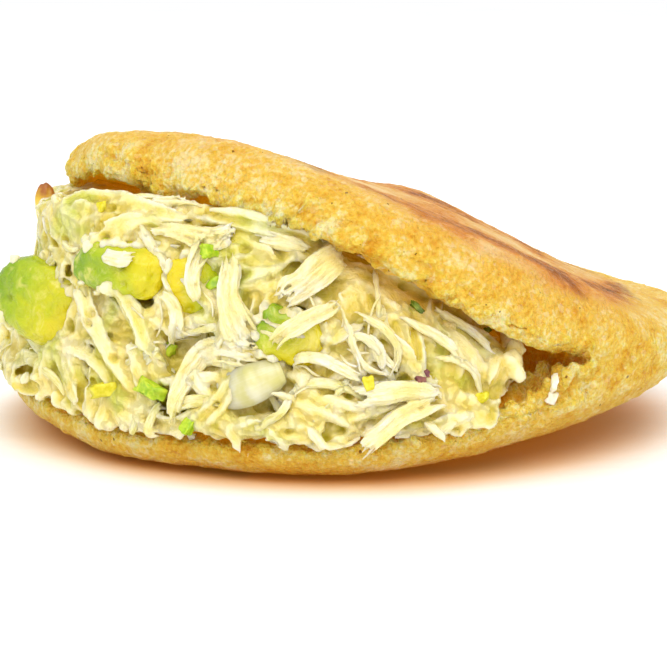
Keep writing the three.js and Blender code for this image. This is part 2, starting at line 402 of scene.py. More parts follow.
def guide_mesh(name, guides, fibres, deep):
    """The lines as a mesh of edges, each point with its way out, half-width, half-depth and fibre count."""
    mesh = bpy.data.meshes.new(name)
    points = [Vector(point) * MM for guide in guides for point in guide["points"]]
    edges, start = [], 0
    for guide in guides:
        count = len(guide["points"])
        edges += [(start + i, start + i + 1) for i in range(count - 1)]
        start += count
    mesh.from_pydata(points, edges, [])
    wide = np.concatenate([guide["wide"] for guide in guides])
    keep(mesh, "up", np.array([up[:] for guide in guides for up in guide["ups"]]), "FLOAT_VECTOR")
    keep(mesh, "wide", wide * MM)
    keep(mesh, "deep", np.minimum(wide * 0.6, deep) * MM)
    number = np.concatenate([np.full(len(g["wide"]), max(1, np.mean(g["wide"]) * fibres)) for g in guides])
    keep(mesh, "fibres", number)
    return mesh


STRAND_LEAN, STRAND_SHIFT = 0.4, 5.3  # mm that the strands shift for each mm up, and from line to line
STRAND_REACH = 3.0  # how many mm from its line the meat still shows fibres


def mark_strands(mesh, guides):
    """Stores on which strand of the nearest line each point lies, in mm across it, and how surely."""
    lines = [np.array([point[:] for point in guide["points"]]) for guide in guides]
    points = np.concatenate(lines)
    ups = np.array([up[:] for guide in guides for up in guide["ups"]])
    side = np.cross(np.concatenate([np.gradient(line, axis=0) for line in lines]), ups)
    side /= np.linalg.norm(side, axis=1)[:, None]
    owner = np.concatenate([np.full(len(line), i) for i, line in enumerate(lines)])
    near = KDTree(len(points))
    for i, point in enumerate(points):
        near.insert(point, i)
    near.balance()
    places = places_of(mesh)
    found = [near.find(place) for place in places]
    which = np.array([index for _, index, _ in found])
    off = places - points[which]
    across = (off * side[which]).sum(axis=1) + STRAND_LEAN * (off * ups[which]).sum(axis=1)
    keep(mesh, "strand", across + STRAND_SHIFT * owner[which])
    far = np.array([distance for _, _, distance in found])
    keep(mesh, "fibrous", 1 - smooth(STRAND_REACH / 2, STRAND_REACH, far))


# ---------------------------------------------------------------- the trees that shape what repeats
def towards_ends(tree, power):
    """How near its line's end a point lies: 0 in the middle, 1 at either end, raised to a power."""
    along = add(tree, "GeometryNodeSplineParameter")
    centred = add(tree, "Math MULTIPLY_ADD", [along, 2.0, -1.0])
    outward = add(tree, "Math ABSOLUTE", [centred])
    return add(tree, "Math POWER", [outward, power])


def shredding_tree():
    """Turns each guide line into a bundle of fibres that lie side by side, wander and end unevenly."""
    sizes = {"Fibre radius": 0.3 * MM, "Wander": 0.4 * MM, "Wander size": 5 * MM, "Ragged": 0.16}
    tree, given = new_tree("shredding", {**sizes, "Taper": 0.45, "Sides": 6, "Seed": 1})
    up, wide, deep, fibres, lane, layer, own_share = (
        add(tree, "GeometryNodeInputNamedAttribute", {"Name": name}, data_type=kind)
        for name, kind in (
            ("up", "FLOAT_VECTOR"),
            ("wide", "FLOAT"),
            ("deep", "FLOAT"),
            ("fibres", "FLOAT"),
            ("lane", "FLOAT"),
            ("layer", "FLOAT"),
            ("own", "FLOAT"),
        )
    )
    whole = add(tree, "Math ROUND", [fibres])
    lines = add(tree, "GeometryNodeMeshToCurve", {"Mesh": given["Geometry"]})
    copies = add(tree, "GeometryNodeDuplicateElements", {"Geometry": lines, "Amount": whole}, domain="SPLINE")

    # each fibre's lane across the bundle, and how high it lies in it
    number = add(tree, "Math ADD", [copies.outputs["Duplicate Index"], 0.5])
    share = add(tree, "Math DIVIDE", [number, whole])
    new_lane = add(tree, "Math MULTIPLY_ADD", [share, 2.0, -1.0])
    new_layer = add(tree, "FunctionNodeRandomValue", {"Min": -1.0, "Max": 1.0, "Seed": given["Seed"]})
    kept = copies
    for name, value in (("lane", new_lane), ("layer", new_layer)):
        marks = {0: kept, "Name": name, "Value": value}
        kept = add(tree, "GeometryNodeStoreNamedAttribute", marks, domain="CURVE")

    # the bundle narrows towards its ends
    ends = towards_ends(tree, 4.0)
    less = add(tree, "Math MULTIPLY", [ends, given["Taper"]])
    narrow = add(tree, "Math SUBTRACT", [1.0, less])
    tangent = add(tree, "GeometryNodeInputTangent")
    cross = add(tree, "VectorMath CROSS_PRODUCT", [tangent, up])
    side = add(tree, "VectorMath NORMALIZE", [cross])
    half = add(tree, "Math MULTIPLY", [wide, lane])
    sideways = add(tree, "Math MULTIPLY", [half, narrow])
    across = add(tree, "VectorMath SCALE", {0: side, "Scale": sideways})
    height = add(tree, "Math MULTIPLY", [deep, layer])
    above = add(tree, "VectorMath SCALE", {0: up, "Scale": height})

    # each fibre wanders on its own
    place = add(tree, "GeometryNodeInputPosition")
    finer = add(tree, "Math DIVIDE", [1.0, given["Wander size"]])
    own = add(tree, "Math MULTIPLY", [lane, 2.5])
    swirl = {"Vector": place, "W": own, "Scale": finer, "Detail": 1.0}
    swirl = add(tree, "TexNoise", swirl, noise_dimensions="4D").outputs["Color"]
    centre = add(tree, "VectorMath SUBTRACT", [swirl, (0.5, 0.5, 0.5)])
    loose = add(tree, "Math MULTIPLY_ADD", [ends, 1.6, 1.0])
    strength = add(tree, "Math MULTIPLY", [loose, given["Wander"]])
    sway = add(tree, "VectorMath SCALE", {0: centre, "Scale": strength})
    laid = add(tree, "VectorMath ADD", [across, above])
    offset = add(tree, "VectorMath ADD", [laid, sway])
    moved = add(tree, "GeometryNodeSetPosition", {"Geometry": kept, "Offset": offset})

    # and ends where it tore off
    first = add(tree, "FunctionNodeRandomValue", {"Max": given["Ragged"], "Seed": 3})
    last = add(tree, "FunctionNodeRandomValue", {"Max": given["Ragged"], "Seed": 4})
    until = add(tree, "Math SUBTRACT", [1.0, last])
    torn = add(tree, "GeometryNodeTrimCurve", {"Curve": moved, "Start": first, "End": until}, mode="FACTOR")
    slim = add(tree, "Math MULTIPLY_ADD", [towards_ends(tree, 5.0), -0.75, 1.0])
    varied = add(tree, "FunctionNodeRandomValue", {"Min": 0.75, "Max": 1.3, "Seed": 5})
    thick = add(tree, "Math MULTIPLY", [slim, given["Fibre radius"]])
    marks = {0: torn, "Name": "own", "Value": varied}
    kept = add(tree, "GeometryNodeStoreNamedAttribute", marks, domain="CURVE")
    radius = add(tree, "Math MULTIPLY", [thick, own_share])
    ring = {"Resolution": given["Sides"], "Radius": 1.0}
    ring = add(tree, "GeometryNodeCurvePrimitiveCircle", ring, mode="RADIUS")
    tubes = {"Curve": kept, "Profile Curve": ring, "Scale": radius, "Fill Caps": True}
    end_tree(tree, given, add(tree, "GeometryNodeCurveToMesh", tubes))
    return tree


def uneven_tree():
    """Gives a soft skin its lumps, fine grain and pits, and marks how deep in a hollow each point lies."""
    sizes = {"Lumps": 0.5 * MM, "Lump size": 3 * MM, "Grain": 0.15 * MM, "Grain size": 0.8 * MM}
    sizes.update({"Pits": 0.4 * MM, "Pit spacing": 3 * MM, "Pitted share": 0.3})
    tree, given = new_tree("uneven", {**sizes, "Hollow rounds": 30})
    place = add(tree, "GeometryNodeInputPosition")
    normal = add(tree, "GeometryNodeInputNormal")
    heights = []
    for kind, detail in (("Lump", 2.0), ("Grain", 2.0)):
        finer = add(tree, "Math DIVIDE", [1.0, given[kind + " size"]])
        rough = add(tree, "TexNoise", {"Vector": place, "Scale": finer, "Detail": detail})
        centred = add(tree, "Math SUBTRACT", [rough, 0.5])
        most = given["Lumps" if kind == "Lump" else "Grain"]
        heights.append(add(tree, "Math MULTIPLY", [centred, most]))
    finer = add(tree, "Math DIVIDE", [1.0, given["Pit spacing"]])
    cells = add(tree, "TexVoronoi", {"Vector": place, "Scale": finer})
    chance = add(tree, "SeparateXYZ", [cells.outputs["Color"]])
    pitted = add(tree, "Math LESS_THAN", [chance, given["Pitted share"]])
    hole = {"Value": cells, "From Min": 0.14, "From Max": 0.3, "To Min": -1.0, "To Max": 0.0}
    hole = add(tree, "MapRange", hole, interpolation_type="SMOOTHSTEP")
    depth = add(tree, "Math MULTIPLY", [hole, given["Pits"]])
    heights.append(add(tree, "Math MULTIPLY", [depth, pitted]))
    total = add(tree, "Math ADD", [heights[0], heights[1]])
    total = add(tree, "Math ADD", [total, heights[2]])
    offset = add(tree, "VectorMath SCALE", {0: normal, "Scale": total})
    moved = add(tree, "GeometryNodeSetPosition", {"Geometry": given["Geometry"], "Offset": offset})
    flatter = {"Value": place, "Iterations": given["Hollow rounds"]}
    around = add(tree, "GeometryNodeBlurAttribute", flatter, data_type="FLOAT_VECTOR")
    off = add(tree, "VectorMath SUBTRACT", [around, place])
    hollow = add(tree, "VectorMath DOT_PRODUCT", [off, normal])
    marks = {0: moved, "Name": "hollow", "Value": hollow.outputs["Value"]}
    end_tree(tree, given, add(tree, "GeometryNodeStoreNamedAttribute", marks, domain="POINT"))
    return tree


def crumbling_tree():
    """Roughens dough: broad unevenness, lumps, meal grains, small pits, and ragged edges where it tore."""
    sizes = {"Broad": 0.8 * MM, "Lumps": 0.8 * MM, "Grains": 0.8 * MM, "Pits": 0.6 * MM, "Tear": 4.4 * MM}
    tree, given = new_tree("crumbling", sizes)
    place = add(tree, "GeometryNodeInputPosition")
    normal = add(tree, "GeometryNodeInputNormal")
    torn, rough = (
        add(tree, "GeometryNodeInputNamedAttribute", {"Name": name}, data_type="FLOAT")
        for name in ("torn", "rough")
    )
    total = 0.0
    for name, size, detail in (("Broad", 14, 1.0), ("Lumps", 2.6, 3.0), ("Grains", 1.1, 2.0)):
        wave = add(tree, "TexNoise", {"Vector": place, "Scale": 1 / (size * MM), "Detail": detail})
        centred = add(tree, "Math SUBTRACT", [wave, 0.5])
        high = add(tree, "Math MULTIPLY", [centred, given[name]])
        if name == "Grains":
            high = add(tree, "Math MULTIPLY", [high, rough])
        total = add(tree, "Math ADD", [total, high])
    cells = add(tree, "TexVoronoi", {"Vector": place, "Scale": 1 / (3.8 * MM)})
    hole = {"Value": cells, "From Min": 0.1, "From Max": 0.26, "To Min": -1.0, "To Max": 0.0}
    hole = add(tree, "MapRange", hole, interpolation_type="SMOOTHSTEP")
    chance = add(tree, "SeparateXYZ", [cells.outputs["Color"]])
    some = add(tree, "Math GREATER_THAN", [chance, 0.72])
    where = add(tree, "Math MULTIPLY", [some, rough])
    depth = add(tree, "Math MULTIPLY", [hole, given["Pits"]])
    pits = add(tree, "Math MULTIPLY", [depth, where])
    total = add(tree, "Math ADD", [total, pits])
    swell = add(tree, "VectorMath SCALE", {0: normal, "Scale": total})
    wave = add(tree, "TexNoise", {"Vector": place, "Scale": 1 / (3.0 * MM), "Detail": 5.0})
    wave = wave.outputs["Color"]
    centred = add(tree, "VectorMath SUBTRACT", [wave, (0.5, 0.5, 0.5)])
    strength = add(tree, "Math MULTIPLY", [torn, given["Tear"]])
    tear = add(tree, "VectorMath SCALE", {0: centred, "Scale": strength})
    offset = add(tree, "VectorMath ADD", [swell, tear])
    moved = {"Geometry": given["Geometry"], "Offset": offset}
    end_tree(tree, given, add(tree, "GeometryNodeSetPosition", moved))
    return tree


UNEVEN = uneven_tree()
SHREDDING = shredding_tree()


def lumps(name, spots, sizes, rng, roughness=0.3, level=2, corners_at=1.0):
    """A mesh of uneven lumps at spots in mm, each with three half-sizes in mm, turned at random.

    Below 1, corners_at makes them boxy.
    """
    ball = bmesh.new()
    bmesh.ops.create_icosphere(ball, subdivisions=level, radius=1)
    knobs = [Vector([math.copysign(abs(c) ** corners_at, c) for c in vertex.co]) for vertex in ball.verts]
    corners = [[vertex.index for vertex in face.verts] for face in ball.faces]
    ball.free()
    points, faces = [], []
    for spot, size in zip(spots, sizes):
        turned = Euler(rng.uniform(0, math.tau, 3)).to_matrix()
        shift = Vector(rng.uniform(0, 50, 3))
        start = len(points)
        for knob in knobs:
            broad, fine = noise.noise(knob * 1.3 + shift), noise.noise(knob * 3 + shift)
            swollen = 1 + roughness * broad + roughness / 2 * fine
            shape = turned @ Vector([a * b * swollen for a, b in zip(knob, size)])
            points.append((Vector(spot) + shape) * MM)
        faces += [[start + corner for corner in face] for face in corners]
    mesh = bpy.data.meshes.new(name)
    mesh.from_pydata(points, [], faces)
    return mesh


# ---------------------------------------------------------------- materials
def new_material(name):
    """A material, its nodes, and the place of each point on the object."""
    material = bpy.data.materials.new(name)
    material.use_nodes = True
    t = material.node_tree
    t.nodes.clear()
    return material, t, add(t, "TexCoord").outputs["Object"]


def see_into(material, inputs, weight, radius, scale):
    """Ends a material that light goes a little way into: how much of it, how far by colour, and how deep."""
    inputs.update({"Subsurface Weight": weight, "Subsurface Radius": radius, "Subsurface Scale": scale})
    surface = add(material.node_tree, "BsdfPrincipled", inputs)
    add(material.node_tree, "OutputMaterial", {"Surface": surface})
    return material


def fibre_lines(t, place):
    """Fine lines that run along the fibres of the meat, and how fibrous each spot is."""
    marks = [add(t, "Attribute", attribute_name=name) for name in ("strand", "fibrous")]
    strand, fibrous = (mark.outputs["Fac"] for mark in marks)
    axes = add(t, "SeparateXYZ", [place]).outputs
    # they change six times slower along the meat than across it
    slow = [add(t, "Math MULTIPLY", [axes[axis], 160.0]) for axis in ("X", "Z")]
    drawn = add(t, "CombineXYZ", [strand, slow[0], slow[1]])
    return add(t, "TexNoise", {"Vector": drawn, "Scale": 2.0, "Detail": 3.0, "Roughness": 0.6}), fibrous


# Griddled corn dough: cooked maize meal, pressed flat and browned on a hot plate. Matte and grainy where it
# tore, a little moist and see-through in the crumb, with a dry brown skin where it touched the plate.
def corn_dough():
    material, t, place = new_material("griddled corn dough")
    flat = add(t, "Attribute", attribute_name="flat").outputs["Vector"]
    inside = add(t, "Attribute", attribute_name="inside").outputs["Fac"]
    axes = add(t, "SeparateXYZ", [flat]).outputs
    level = add(t, "CombineXYZ", [axes["X"], axes["Y"]])
    radius = add(t, "VectorMath LENGTH", [level]).outputs["Value"]
    turn = add(t, "Math ARCTAN2", [axes["Y"], axes["X"]])
    along = add(t, "Math MULTIPLY", [turn, 0.007])
    ring = add(t, "CombineXYZ", [radius, along, axes["Z"]])
    above = add(t, "Math ABSOLUTE", [axes["Z"]])

    # the crumb, from pale to deep yellow
    patches = add(t, "TexNoise", {"Vector": place, "Scale": 1 / (7 * MM), "Detail": 5.0, "Roughness": 0.62})
    grains = add(t, "TexNoise", {"Vector": place, "Scale": 1 / (0.8 * MM), "Detail": 3.0})
    mixed = add(t, "Math MULTIPLY_ADD", [grains, 0.6, patches])
    tones = [(0.58, "#DE9C26"), (0.7, "#EEBF44"), (0.82, "#F5D260"), (0.94, "#FCE8A4")]
    skin = add(t, "ValToRGB", {"Fac": mixed}, stops=tones)

    # browner towards the underside, deeper yellow inside the split (partly the moist crumb, partly painted
    # shade of the hollow under the flap), toasted just under the griddled faces
    low = add(t, "MapRange", {"Value": axes["Z"], "From Min": -0.0015, "From Max": -0.0078, "To Max": 0.5})
    deep_crumb_and_shade = add(t, "Math MULTIPLY", [inside, 0.85])
    near = add(t, "MapRange", {"Value": axes["Z"], "From Min": 0.0015, "From Max": 0.0085, "To Max": 0.65})
    for share, colour in ((low, "#DBA443"), (deep_crumb_and_shade, "#F2B21C"), (near, "#E5A440")):
        skin = add(t, "Mix", {"Factor": share, "A": skin, "B": colour}, data_type="RGBA")

    # the griddled faces: pale in the middle, brown in a ring near the rim
    cloud = {"Vector": level, "Scale": 1 / (17 * MM), "Detail": 6.0, "Roughness": 0.6, "Distortion": 0.5}
    clouds = add(t, "TexNoise", cloud)
    streaks = add(t, "TexNoise", {"Vector": ring, "Scale": 1 / (2.2 * MM), "Detail": 5.0, "Roughness": 0.7})
    rising = {"Value": radius, "From Min": 0.039, "From Max": 0.045}
    falling = {"Value": radius, "From Min": 0.0485, "From Max": 0.0525, "To Min": 1.0, "To Max": 0.35}
    rise, fall = (add(t, "MapRange", slope, interpolation_type="SMOOTHSTEP") for slope in (rising, falling))
    band = add(t, "Math MULTIPLY", [rise, fall])
    heart = add(t, "MapRange", {"Value": radius, "From Min": 0.034, "From Max": 0.022, "To Max": 0.16})
    strong = add(t, "Math MULTIPLY_ADD", [clouds, 1.5, -0.34])
    centre = add(t, "Math ADD", [strong, heart])
    cloudy = add(t, "Math MULTIPLY_ADD", [band, 0.24, centre])
    brown = add(t, "Math MULTIPLY_ADD", [streaks, 0.42, cloudy])
    tones = [(0.46, "#EFC684"), (0.6, "#E8B05C"), (0.72, "#DE933A"), (0.84, "#C87824"), (1.0, "#94500E")]
    baked = add(t, "ValToRGB", {"Fac": brown}, stops=tones)
    uneven = add(t, "Math MULTIPLY_ADD", [patches, 0.0034, above])
    covered = {"Value": uneven, "From Min": 0.0076, "From Max": 0.0092}
    face = add(t, "MapRange", covered, interpolation_type="SMOOTHSTEP")
    skin = add(t, "Mix", {"Factor": face, "A": skin, "B": baked}, data_type="RGBA")

    # with scorched streaks along the ring
    thin_ring = add(t, "VectorMath MULTIPLY", [ring, (3.2, 1.0, 1.0)])
    line = {"Vector": thin_ring, "Scale": 1 / (1.5 * MM), "Detail": 6.0, "Roughness": 0.75}
    charring = add(t, "Math MULTIPLY_ADD", [band, 0.2, add(t, "TexNoise", line)])
    patchy = add(t, "Math MULTIPLY_ADD", [clouds, 0.45, charring])
    scorch = add(t, "MapRange", {"Value": patchy, "From Min": 0.99, "From Max": 1.05})
    facing = add(t, "Math POWER", [face, 3.0])
    scorched = add(t, "Math MULTIPLY", [scorch, facing])
    for least, most, colour in ((0.0, 0.5, "#BE7020"), (0.5, 1.0, "#4A2808")):
        burnt = add(t, "MapRange", {"Value": scorched, "From Min": least, "From Max": most})
        skin = add(t, "Mix", {"Factor": burnt, "A": skin, "B": colour}, data_type="RGBA")

    # dark specks of bran, and pale bits of maize
    cells = add(t, "TexVoronoi", {"Vector": place, "Scale": 1 / (2.1 * MM)})
    chance = add(t, "SeparateColor", [cells.outputs["Color"]]).outputs
    ragged = add(t, "Math MULTIPLY_ADD", [grains, 0.35, cells])
    speck = add(t, "Math LESS_THAN", [ragged, 0.28])
    few = add(t, "Math GREATER_THAN", [chance[0], 0.8])
    both = add(t, "Math MULTIPLY", [speck, few])
    seen = add(t, "Math MULTIPLY", [both, 0.8])
    bits = add(t, "TexVoronoi", {"Vector": place, "Scale": 1 / (0.9 * MM)})
    bit_chance = add(t, "SeparateColor", [bits.outputs["Color"]]).outputs
    pale = add(t, "MapRange", {"Value": bit_chance[1], "From Min": 0.9, "From Max": 0.98, "To Max": 0.35})
    off_face = add(t, "MapRange", {"Value": face, "To Min": 1.0, "To Max": 0.25})
    pale = add(t, "Math MULTIPLY", [pale, off_face])
    for share, colour in ((seen, "#7C4A1E"), (pale, "#FFF0C0")):
        skin = add(t, "Mix", {"Factor": share, "A": skin, "B": colour}, data_type="RGBA")

    # relief too fine for the mesh: meal grains of about half a millimetre
    fine = add(t, "TexNoise", {"Vector": place, "Scale": 1 / (0.4 * MM), "Detail": 3.0})
    meal = add(t, "TexVoronoi", {"Vector": place, "Scale": 1 / (0.7 * MM)})
    relief = add(t, "Math MULTIPLY_ADD", [meal, 0.8, fine])
    bump = add(t, "Bump", {"Height": relief, "Distance": 0.001, "Strength": 1.0})
    dry = {"Value": grains, "From Min": 0.35, "From Max": 0.7, "To Min": 0.36, "To Max": 0.62}
    inputs = {"Base Color": skin, "Roughness": add(t, "MapRange", dry), "Normal": bump}
    inputs.update({"IOR": 1.45, "Specular IOR Level": 0.12})
    # painted glow: emission inside the split, standing in for the light that comes through the thin flap
    through = add(t, "Math MULTIPLY", [inside, 0.24])
    inputs.update({"Emission Color": "#F0A40C", "Emission Strength": through})
    return see_into(material, inputs, 0.45, (1.0, 0.6, 0.14), 0.005)


# Avocado mayonnaise: ripe avocado mashed into egg mayonnaise. Wet, opaque and pale yellow-green, with small
# lumps, and greener where there is more fruit. Painted shade makes it olive yellow in the hollows, on sunk
# parts and between the fibres; painted light makes raised tops paler.
def avocado_cream():
    material, t, place = new_material("avocado mayonnaise")
    marks = [add(t, "Attribute", attribute_name=name) for name in ("hollow", "buried")]
    hollow, buried = (mark.outputs["Fac"] for mark in marks)
    blotches = add(t, "TexNoise", {"Vector": place, "Scale": 1 / (6 * MM), "Detail": 4.0, "Roughness": 0.6})
    fruit = add(t, "TexNoise", {"Vector": place, "Scale": 1 / (11 * MM), "Detail": 3.0, "Distortion": 0.8})
    lines, fibrous = fibre_lines(t, place)
    # painted shade: darker yellow between the fibres of the meat
    between = add(t, "MapRange", {"Value": lines, "From Min": 0.47, "From Max": 0.36, "To Max": 0.28})
    painted_fibre_shade = add(t, "Math MULTIPLY", [between, fibrous])
    tones = [(0.34, "#E0C84C"), (0.47, "#ECD672"), (0.58, "#F4E298"), (0.72, "#FBF0C8")]
    tone = add(t, "ValToRGB", {"Fac": blotches}, stops=tones)
    layers = [
        (fruit, 0.5, 0.68, 0.75, "#BFC94E"),  # more fruit
        (fruit, 0.45, 0.28, 0.7, "#F0DC70"),  # more egg
        # painted shade: olive yellow in the hollows and on the parts sunk under the filling's even skin
        (hollow, 0.0001, 0.0008, 1.0, "#C8BA34"),
        (buried, 0.0009, 0.0032, 0.85, "#CEC22C"),
        (hollow, 0.0, -0.0006, 0.7, "#FAF3D2"),  # raised tops made paler: painted light
        (painted_fibre_shade, 0.0, 1.0, 1.0, "#D8C85C"),
    ]
    for mask, least, most, share, colour in layers:
        cover = add(t, "MapRange", {"Value": mask, "From Min": least, "From Max": most, "To Max": share})
        tone = add(t, "Mix", {"Factor": cover, "A": tone, "B": colour}, data_type="RGBA")
    fine = add(t, "TexNoise", {"Vector": place, "Scale": 1 / (0.9 * MM), "Detail": 4.0, "Distortion": 1.2})
    ridged = add(t, "Math MULTIPLY", [lines, fibrous])
    relief = add(t, "Math MULTIPLY_ADD", [ridged, 1.2, fine])
    bump = add(t, "Bump", {"Height": relief, "Distance": 0.0004, "Strength": 0.7})
    wet = {"Value": blotches, "From Min": 0.3, "From Max": 0.7, "To Min": 0.14, "To Max": 0.32}
    inputs = {"Base Color": tone, "Roughness": add(t, "MapRange", wet), "Normal": bump, "IOR": 1.45}
    return see_into(material, inputs, 0.5, (1.0, 0.88, 0.25), 0.0045)


# Boiled chicken breast, pulled into shreds: pale cream meat in long fibres, moist and slightly see-through,
# yellower where the sauce has stained it, and with painted shade making it darker yellow in the grooves and
# hollows.
def pulled_chicken(name, tones, groove_shade_tone):
    material, t, place = new_material(name)
    hollow = add(t, "Attribute", attribute_name="hollow").outputs["Fac"]
    stain = add(t, "TexNoise", {"Vector": place, "Scale": 1 / (5 * MM), "Detail": 4.0, "Roughness": 0.6})
    lines, _ = fibre_lines(t, place)
    tone = add(t, "ValToRGB", {"Fac": stain}, stops=tones)
    # painted shade: the groove shade tone laid into the hollows and between the fibres
    for mask, least, most, share in ((hollow, 0.00002, 0.0003, 0.65), (lines, 0.5, 0.36, 0.7)):
        groove_shade = add(t, "MapRange", {"Value": mask, "From Min": least, "From Max": most, "To Max": share})
        tone = add(t, "Mix", {"Factor": groove_shade, "A": tone, "B": groove_shade_tone}, data_type="RGBA")
    bump = add(t, "Bump", {"Height": lines, "Distance": 0.0008, "Strength": 0.9})
    wet = {"Value": stain, "From Min": 0.3, "From Max": 0.7, "To Min": 0.22, "To Max": 0.4}
    inputs = {"Base Color": tone, "Roughness": add(t, "MapRange", wet), "Normal": bump, "IOR": 1.43}
    return see_into(material, inputs, 0.5, (1.0, 0.85, 0.35), 0.002)


# Chicken skin, roasted: brown and glossy at its tip, golden below, cream where it meets the meat.
def roasted_skin():
    material, t, place = new_material("roasted chicken skin")
    level = add(t, "SeparateXYZ", [place]).outputs["Z"]
    blotches = add(t, "TexNoise", {"Vector": place, "Scale": 1 / (1.6 * MM), "Detail": 4.0})
    uneven = add(t, "Math MULTIPLY_ADD", [blotches, 0.0032, level])
    share = add(t, "MapRange", {"Value": uneven, "From Min": 0.0345, "From Max": 0.0455})
    tones = [(0.0, "#F0E6A8"), (0.35, "#E6D06A"), (0.52, "#D9B63C"), (0.64, "#A9692A"), (0.78, "#7C4418")]
    tone = add(t, "ValToRGB", {"Fac": share}, stops=tones)
    bump = add(t, "Bump", {"Height": blotches, "Distance": 0.0003, "Strength": 0.6})
    inputs = {"Base Color": tone, "Roughness": 0.34, "Normal": bump, "IOR": 1.45}
    return see_into(material, inputs, 0.25, (1.0, 0.5, 0.2), 0.0012)


# Ripe avocado, diced: smooth buttery flesh, green under the skin and yellow towards the stone, smeared with
# the cream it was folded into.
def ripe_avocado():
    material, t, place = new_material("ripe avocado flesh")
    marks = [add(t, "Attribute", attribute_name=name) for name in ("rind", "hollow")]
    rind, hollow = (mark.outputs["Fac"] for mark in marks)
    drift = add(t, "TexNoise", {"Vector": place, "Scale": 1 / (4 * MM), "Detail": 4.0, "Distortion": 0.6})
    uneven = add(t, "Math MULTIPLY_ADD", [drift, 0.6, rind])
    level = add(t, "Math MULTIPLY", [uneven, 1 / 1.3])
    tones = [(0.3, "#DCC816"), (0.5, "#CCC410"), (0.68, "#B8BE12"), (0.84, "#9FB414"), (1.0, "#7FA014")]
    flesh = add(t, "ValToRGB", {"Fac": level}, stops=tones)
    streaky = add(t, "Mapping", {"Vector": place, "Rotation": (0.3, 0.5, 0.6), "Scale": (1, 2.6, 1)})
    smear = {"Vector": streaky, "Scale": 1 / (5 * MM), "Detail": 5.0, "Roughness": 0.68, "Distortion": 0.7}
    smear = add(t, "TexNoise", smear)
    # painted shade: darker green in the creases
    crease_shade = (hollow, 0.00005, 0.0006, 0.7, "#8A9A1A")
    for mask, least, most, share, colour in (crease_shade, (smear, 0.54, 0.68, 0.6, "#E6DC80")):
        cover = add(t, "MapRange", {"Value": mask, "From Min": least, "From Max": most, "To Max": share})
        flesh = add(t, "Mix", {"Factor": cover, "A": flesh, "B": colour}, data_type="RGBA")
    mashed = add(t, "TexNoise", {"Vector": place, "Scale": 1 / (2.4 * MM), "Detail": 5.0, "Distortion": 0.9})
    wet = {"Value": mashed, "From Min": 0.35, "From Max": 0.65, "To Min": 0.12, "To Max": 0.36}
    bump = add(t, "Bump", {"Height": mashed, "Distance": 0.0012, "Strength": 0.6})
    inputs = {"Base Color": flesh, "Roughness": add(t, "MapRange", wet), "Normal": bump, "IOR": 1.46}
    return see_into(material, inputs, 0.4, (1.0, 0.85, 0.2), 0.002)


# White onion, raw and sliced: wet, glassy layers with fine ribs along them.
def raw_onion():
    material, t, place = new_material("raw white onion")
    lane = add(t, "Attribute", attribute_name="lane").outputs["Fac"]
    ribs = add(t, "CombineXYZ", [lane])
    rib = add(t, "TexNoise", {"Vector": ribs, "Scale": 9.0, "Detail": 2.0})
    cloud = add(t, "TexNoise", {"Vector": place, "Scale": 1 / (4 * MM), "Detail": 3.0})
    mixed = add(t, "Math MULTIPLY_ADD", [rib, 0.2, cloud])
    tone = add(t, "ValToRGB", {"Fac": mixed}, stops=[(0.4, "#D2CA78"), (0.6, "#DDD596"), (0.8, "#E9E3BA")])
    bump = add(t, "Bump", {"Height": rib, "Distance": 0.0001, "Strength": 0.2})
    inputs = {"Base Color": tone, "Roughness": 0.16, "Normal": bump, "IOR": 1.36}
    return see_into(material, inputs, 0.8, (1.0, 0.95, 0.6), 0.003)


# Small chopped vegetables: wet, bright and slightly see-through, mottled at a millimetre.
def chopped(name, dark, pale):
    material, t, place = new_material(name)
    mottle = add(t, "TexNoise", {"Vector": place, "Scale": 1 / (1.2 * MM), "Detail": 4.0})
    tone = add(t, "ValToRGB", {"Fac": mottle}, stops=[(0.35, dark), (0.65, pale)])
    bump = add(t, "Bump", {"Height": mottle, "Distance": 0.0003, "Strength": 0.6})
    inputs = {"Base Color": tone, "Roughness": 0.26, "Normal": bump, "IOR": 1.4}
    return see_into(material, inputs, 0.35, (0.8, 1.0, 0.3), 0.001)


# ---------------------------------------------------------------- the corn cake
# Where each mark on the cake fades in or out, in mm
CUT_FADES = (1.0, 3.4)  # away from the cut
OPENS = (CUT_END - 6, CUT_END + 8)  # along the opening
TORN_RIM = (CAKE_RADIUS - 15, CAKE_RADIUS - 6)  # from the middle
INSIDE_ENDS = (CAKE_RADIUS - 6, CAKE_RADIUS - 1.5)
SKIN_STARTS = (5.0, 6.8)  # away from the cut
SKIN_SMOOTHNESS = 0.75


def mark_cake(mesh):
    """Stores where each point lay in the flat round, and how torn, rough and deep inside the split it is."""
    flat, s = unbent(places_of(mesh))
    radius = np.hypot(flat[:, 0], flat[:, 1])
    split = (1 - smooth(*CUT_FADES, np.abs(flat[:, 2]))) * smooth(*OPENS, s)
    torn = split * smooth(*TORN_RIM, radius)
    keep(mesh, "flat", flat * MM, "FLOAT_VECTOR")
    keep(mesh, "torn", torn)
    keep(mesh, "inside", split * (1 - smooth(*INSIDE_ENDS, radius)))
    keep(mesh, "rough", 1 - SKIN_SMOOTHNESS * smooth(*SKIN_STARTS, np.abs(flat[:, 2])))
    return torn


CRUMBS = 700
